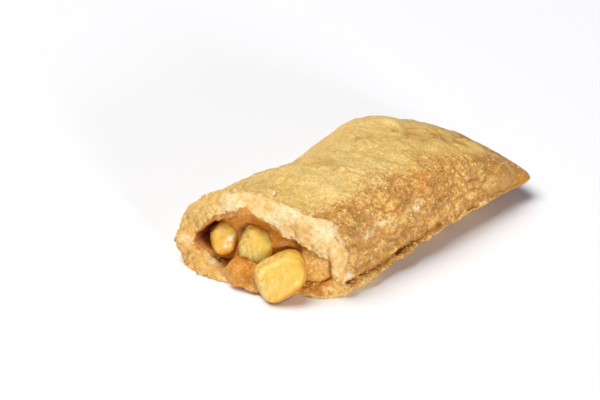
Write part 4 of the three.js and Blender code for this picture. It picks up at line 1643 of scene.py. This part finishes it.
@dataclass
class Strewn:
    """Everything loose on the pie: sugar, cinnamon, crumbs and flakes of torn dough."""

    crust: Crust
    chunks: tuple[AppleChunk, ...]
    sugar_end_x: float = 46.0

    def surfaces(self) -> dict[str, Surface]:
        """Say where each kind of bit may lie.

        Returns:
            Surfaces by piece: sugar on the skin, crumbs and flakes at the tear, browned
            crumbs in clusters low on the near side, cinnamon on the chunks and the tear.
        """
        crust = self.crust
        x, y, z = np.moveaxis(crust.points, -1, 0)
        row = np.arange(len(x))[:, None] + 0 * x
        skin_start = crust.hollow_rows + crust.tear_rows
        on_skin = (row > skin_start) * ease(0.0, 0.6, crust.normals[..., 2])
        on_skin = on_skin * (x < self.sugar_end_x)
        on_tear = (row >= crust.hollow_rows + 4) * (row < skin_start + 6)
        rim = hill(row, skin_start, 5.0) + 0.25 * on_tear
        lip = hill(x, -41, 5) * hill(y, -21, 4) * ease(5.0, 3.0, z) * on_tear
        far_edge = hill(y, 21, 3.5) * hill(z, 7, 6) * on_tear
        shoulder = on_skin * hill(y, -23, 5)
        clusters = (row > skin_start) * ease(-16.0, -21.0, y) * ease(1.0, 4.0, z)
        clusters = clusters * ease(26.0, 8.0, x)
        clusters = clusters * (0.1 + patches(crust.points, -0.1, 0.4, 5.0, 291, 2))
        stained = 0.12 * on_tear * ease(0.2, 0.9, crust.zones["stain"] + 0.4)
        facing = [ease(-0.2, 0.4, chunk.normals @ chunk.view_axes()[2]) for chunk in self.chunks]
        inside = [Surface.of(chunk, share) for chunk, share in zip(self.chunks, facing)]
        weights = {
            "sugar_grains": on_skin + 1.5 * shoulder,
            "dough_crumbs": 0.25 * on_tear + 0.3 * rim + 0.25 * shoulder,
            "skin_crumbs": clusters,
            "dough_flakes": 0.12 * rim + 0.6 * lip + 0.3 * far_edge,
            "cinnamon_specks": stained,
        }
        surfaces = {name: Surface.of(crust, weight) for name, weight in weights.items()}
        surfaces["cinnamon_specks"] = Surface.joined([*inside, surfaces["cinnamon_specks"]])
        return surfaces

    def build(self) -> list[Thing]:
        """Strew each kind of bit over its surface and return the pieces."""
        surfaces = self.surfaces()
        return [kind.build(surfaces[kind.name]) for kind in KINDS]


# ---- the studio


@dataclass(frozen=True)
class SoftBox:
    """A square lamp that faces the pie: its place and side in metres, power and colour."""

    name: str
    place: tuple[float, float, float]
    side: float
    watts: float
    colour: str

    def build(self) -> None:
        """Hang the lamp."""
        data = bpy.data.lights.new(self.name, "AREA")
        data.size = self.side
        data.energy = self.watts
        data.color = linear(self.colour)[:3]
        lamp = bpy.data.objects.new(self.name, data)
        lamp.location = self.place
        lamp.rotation_euler = Vector(self.place).to_track_quat("Z", "Y").to_euler()
        bpy.context.scene.collection.objects.link(lamp)


@dataclass(frozen=True)
class Studio:
    """A white table, soft light from the upper left, and the camera at the photo's angle."""

    elevation: float = 27.0
    azimuth: float = -46.3
    distance_mm: float = 517.0
    lens_mm: float = 102.0
    sensor_mm: float = 36.0
    nearest_m: float = 0.01
    aim: tuple[float, float, float] = (-2.9, 23.8, 0.0)
    table_half: float = 1500.0
    table_z: float = -0.02
    table: str = "#f6f8fb"
    room: str = "#bfd4ff"
    room_strength: float = 0.115
    lamps: tuple[SoftBox, ...] = (
        SoftBox("soft_box_left", (-0.76, 0.82, 2.68), 2.3, 104.0, "#fffaf3"),
        SoftBox("soft_box_front", (-0.9, -2.5, 0.32), 0.58, 63.0, "#e8edff"),
    )

    def camera(self) -> None:
        """Place the camera on a sphere round its aim and turn it to look there."""
        e, a = math.radians(self.elevation), math.radians(self.azimuth)
        back = Vector((math.sin(a) * math.cos(e), -math.cos(a) * math.cos(e), math.sin(e)))
        data = bpy.data.cameras.new("camera")
        data.lens = self.lens_mm
        data.sensor_width = self.sensor_mm
        data.clip_start = self.nearest_m
        camera = bpy.data.objects.new("camera", data)
        camera.location = (Vector(self.aim) + back * self.distance_mm) * MM
        camera.rotation_euler = back.to_track_quat("Z", "Y").to_euler()
        bpy.context.scene.collection.objects.link(camera)
        bpy.context.scene.camera = camera

    def floor(self) -> None:
        """Lay a white painted board, matt and even, just below the underside."""
        corners = np.array([[-1.0, -1, 0], [1, -1, 0], [1, 1, 0], [-1, 1, 0]]) * self.table_half
        corners[:, 2] = self.table_z
        table = mesh_object("table", corners, [np.array([[0, 1, 2, 3]])])
        graph = Graph("matt_white_board")
        graph.feed(graph.shader, {"Base Color": linear(self.table), "Roughness": 0.9})
        table.data.materials.append(graph.material)

    def world(self) -> None:
        """Fill the room with an even, faint, cool light."""
        room = bpy.data.worlds.new("room")
        room.use_nodes = True
        background = room.node_tree.nodes["Background"]
        background.inputs[0].default_value = linear(self.room)
        background.inputs[1].default_value = self.room_strength
        bpy.context.scene.world = room

    def build(self) -> None:
        """Set up camera, table and lights, with plain display colours."""
        self.camera()
        self.floor()
        self.world()
        for lamp in self.lamps:
            lamp.build()
        bpy.context.scene.view_settings.view_transform = "Standard"


# ---- the whole


# The left chunk lies under the roof: its glaze is painted shade, and pale 0 gives it no painted
# light.
CHUNKS = (
    AppleChunk("apple_left", 11, (-47.4, 9.4, 10.2), (
        (0, 0, 4.7), (45, 0, 6.0), (90, 10, 5.6), (129, 5, 4.7), (180, 5, 4.9), (204, 0, 5.4),
        (265, 0, 5.6), (324, 0, 4.6), (100, 70, 4.9), (330, 65, 5.0), (0, -90, 5.5),
    ), crumbly=0.05, glaze_and_shade=0.3, pale=0.0),
    AppleChunk("apple_middle", 23, (-45.7, -2.0, 10.9), (
        (15, 0, 6.0), (56, 8, 4.3), (105, 0, 6.7), (170, 12, 5.2), (225, 10, 6.3), (270, 0, 5.7),
        (331, 10, 5.0), (40, 58, 4.6), (200, 65, 4.8), (0, -90, 6.0),
    ), crumbly=0.65, glaze_and_shade=-0.14),
    AppleChunk("apple_front", 37, (-48.7, -13.0, 6.5), (
        (0, 10, 7.2), (55, 0, 8.4), (116, 5, 5.9), (165, 10, 8.4), (208, 8, 7.3), (260, 0, 7.9),
        (312, 5, 5.8), (90, 48, 6.6), (0, 88, 5.7), (235, 60, 6.7), (0, -90, 6.5),
    ), crumbly=0.12, glaze_and_shade=-0.06),
)


def report(thing: Thing) -> None:
    """Log an object's name, triangles and size in millimetres."""
    thing.data.calc_loop_triangles()
    size = [round(value / MM, 1) for value in thing.dimensions]
    log.info("%s: %d triangles, %s mm", thing.name, len(thing.data.loop_triangles), size)


def main() -> None:
    """Build the pie, its loose bits and the studio."""
    logging.basicConfig(level=logging.INFO, format="%(message)s")
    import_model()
    Studio().build()

    form = PieForm()
    crust = Crust(form)
    crust.build()
    report(crust.dress())
    report(Filling(form, Drip()).dress())
    apple = CookedApple().make()
    for chunk in CHUNKS:
        chunk.build()
        report(chunk.dress(apple))

    for thing in Strewn(crust, CHUNKS).build():
        report(thing)


if __name__ == "__main__":
    main()
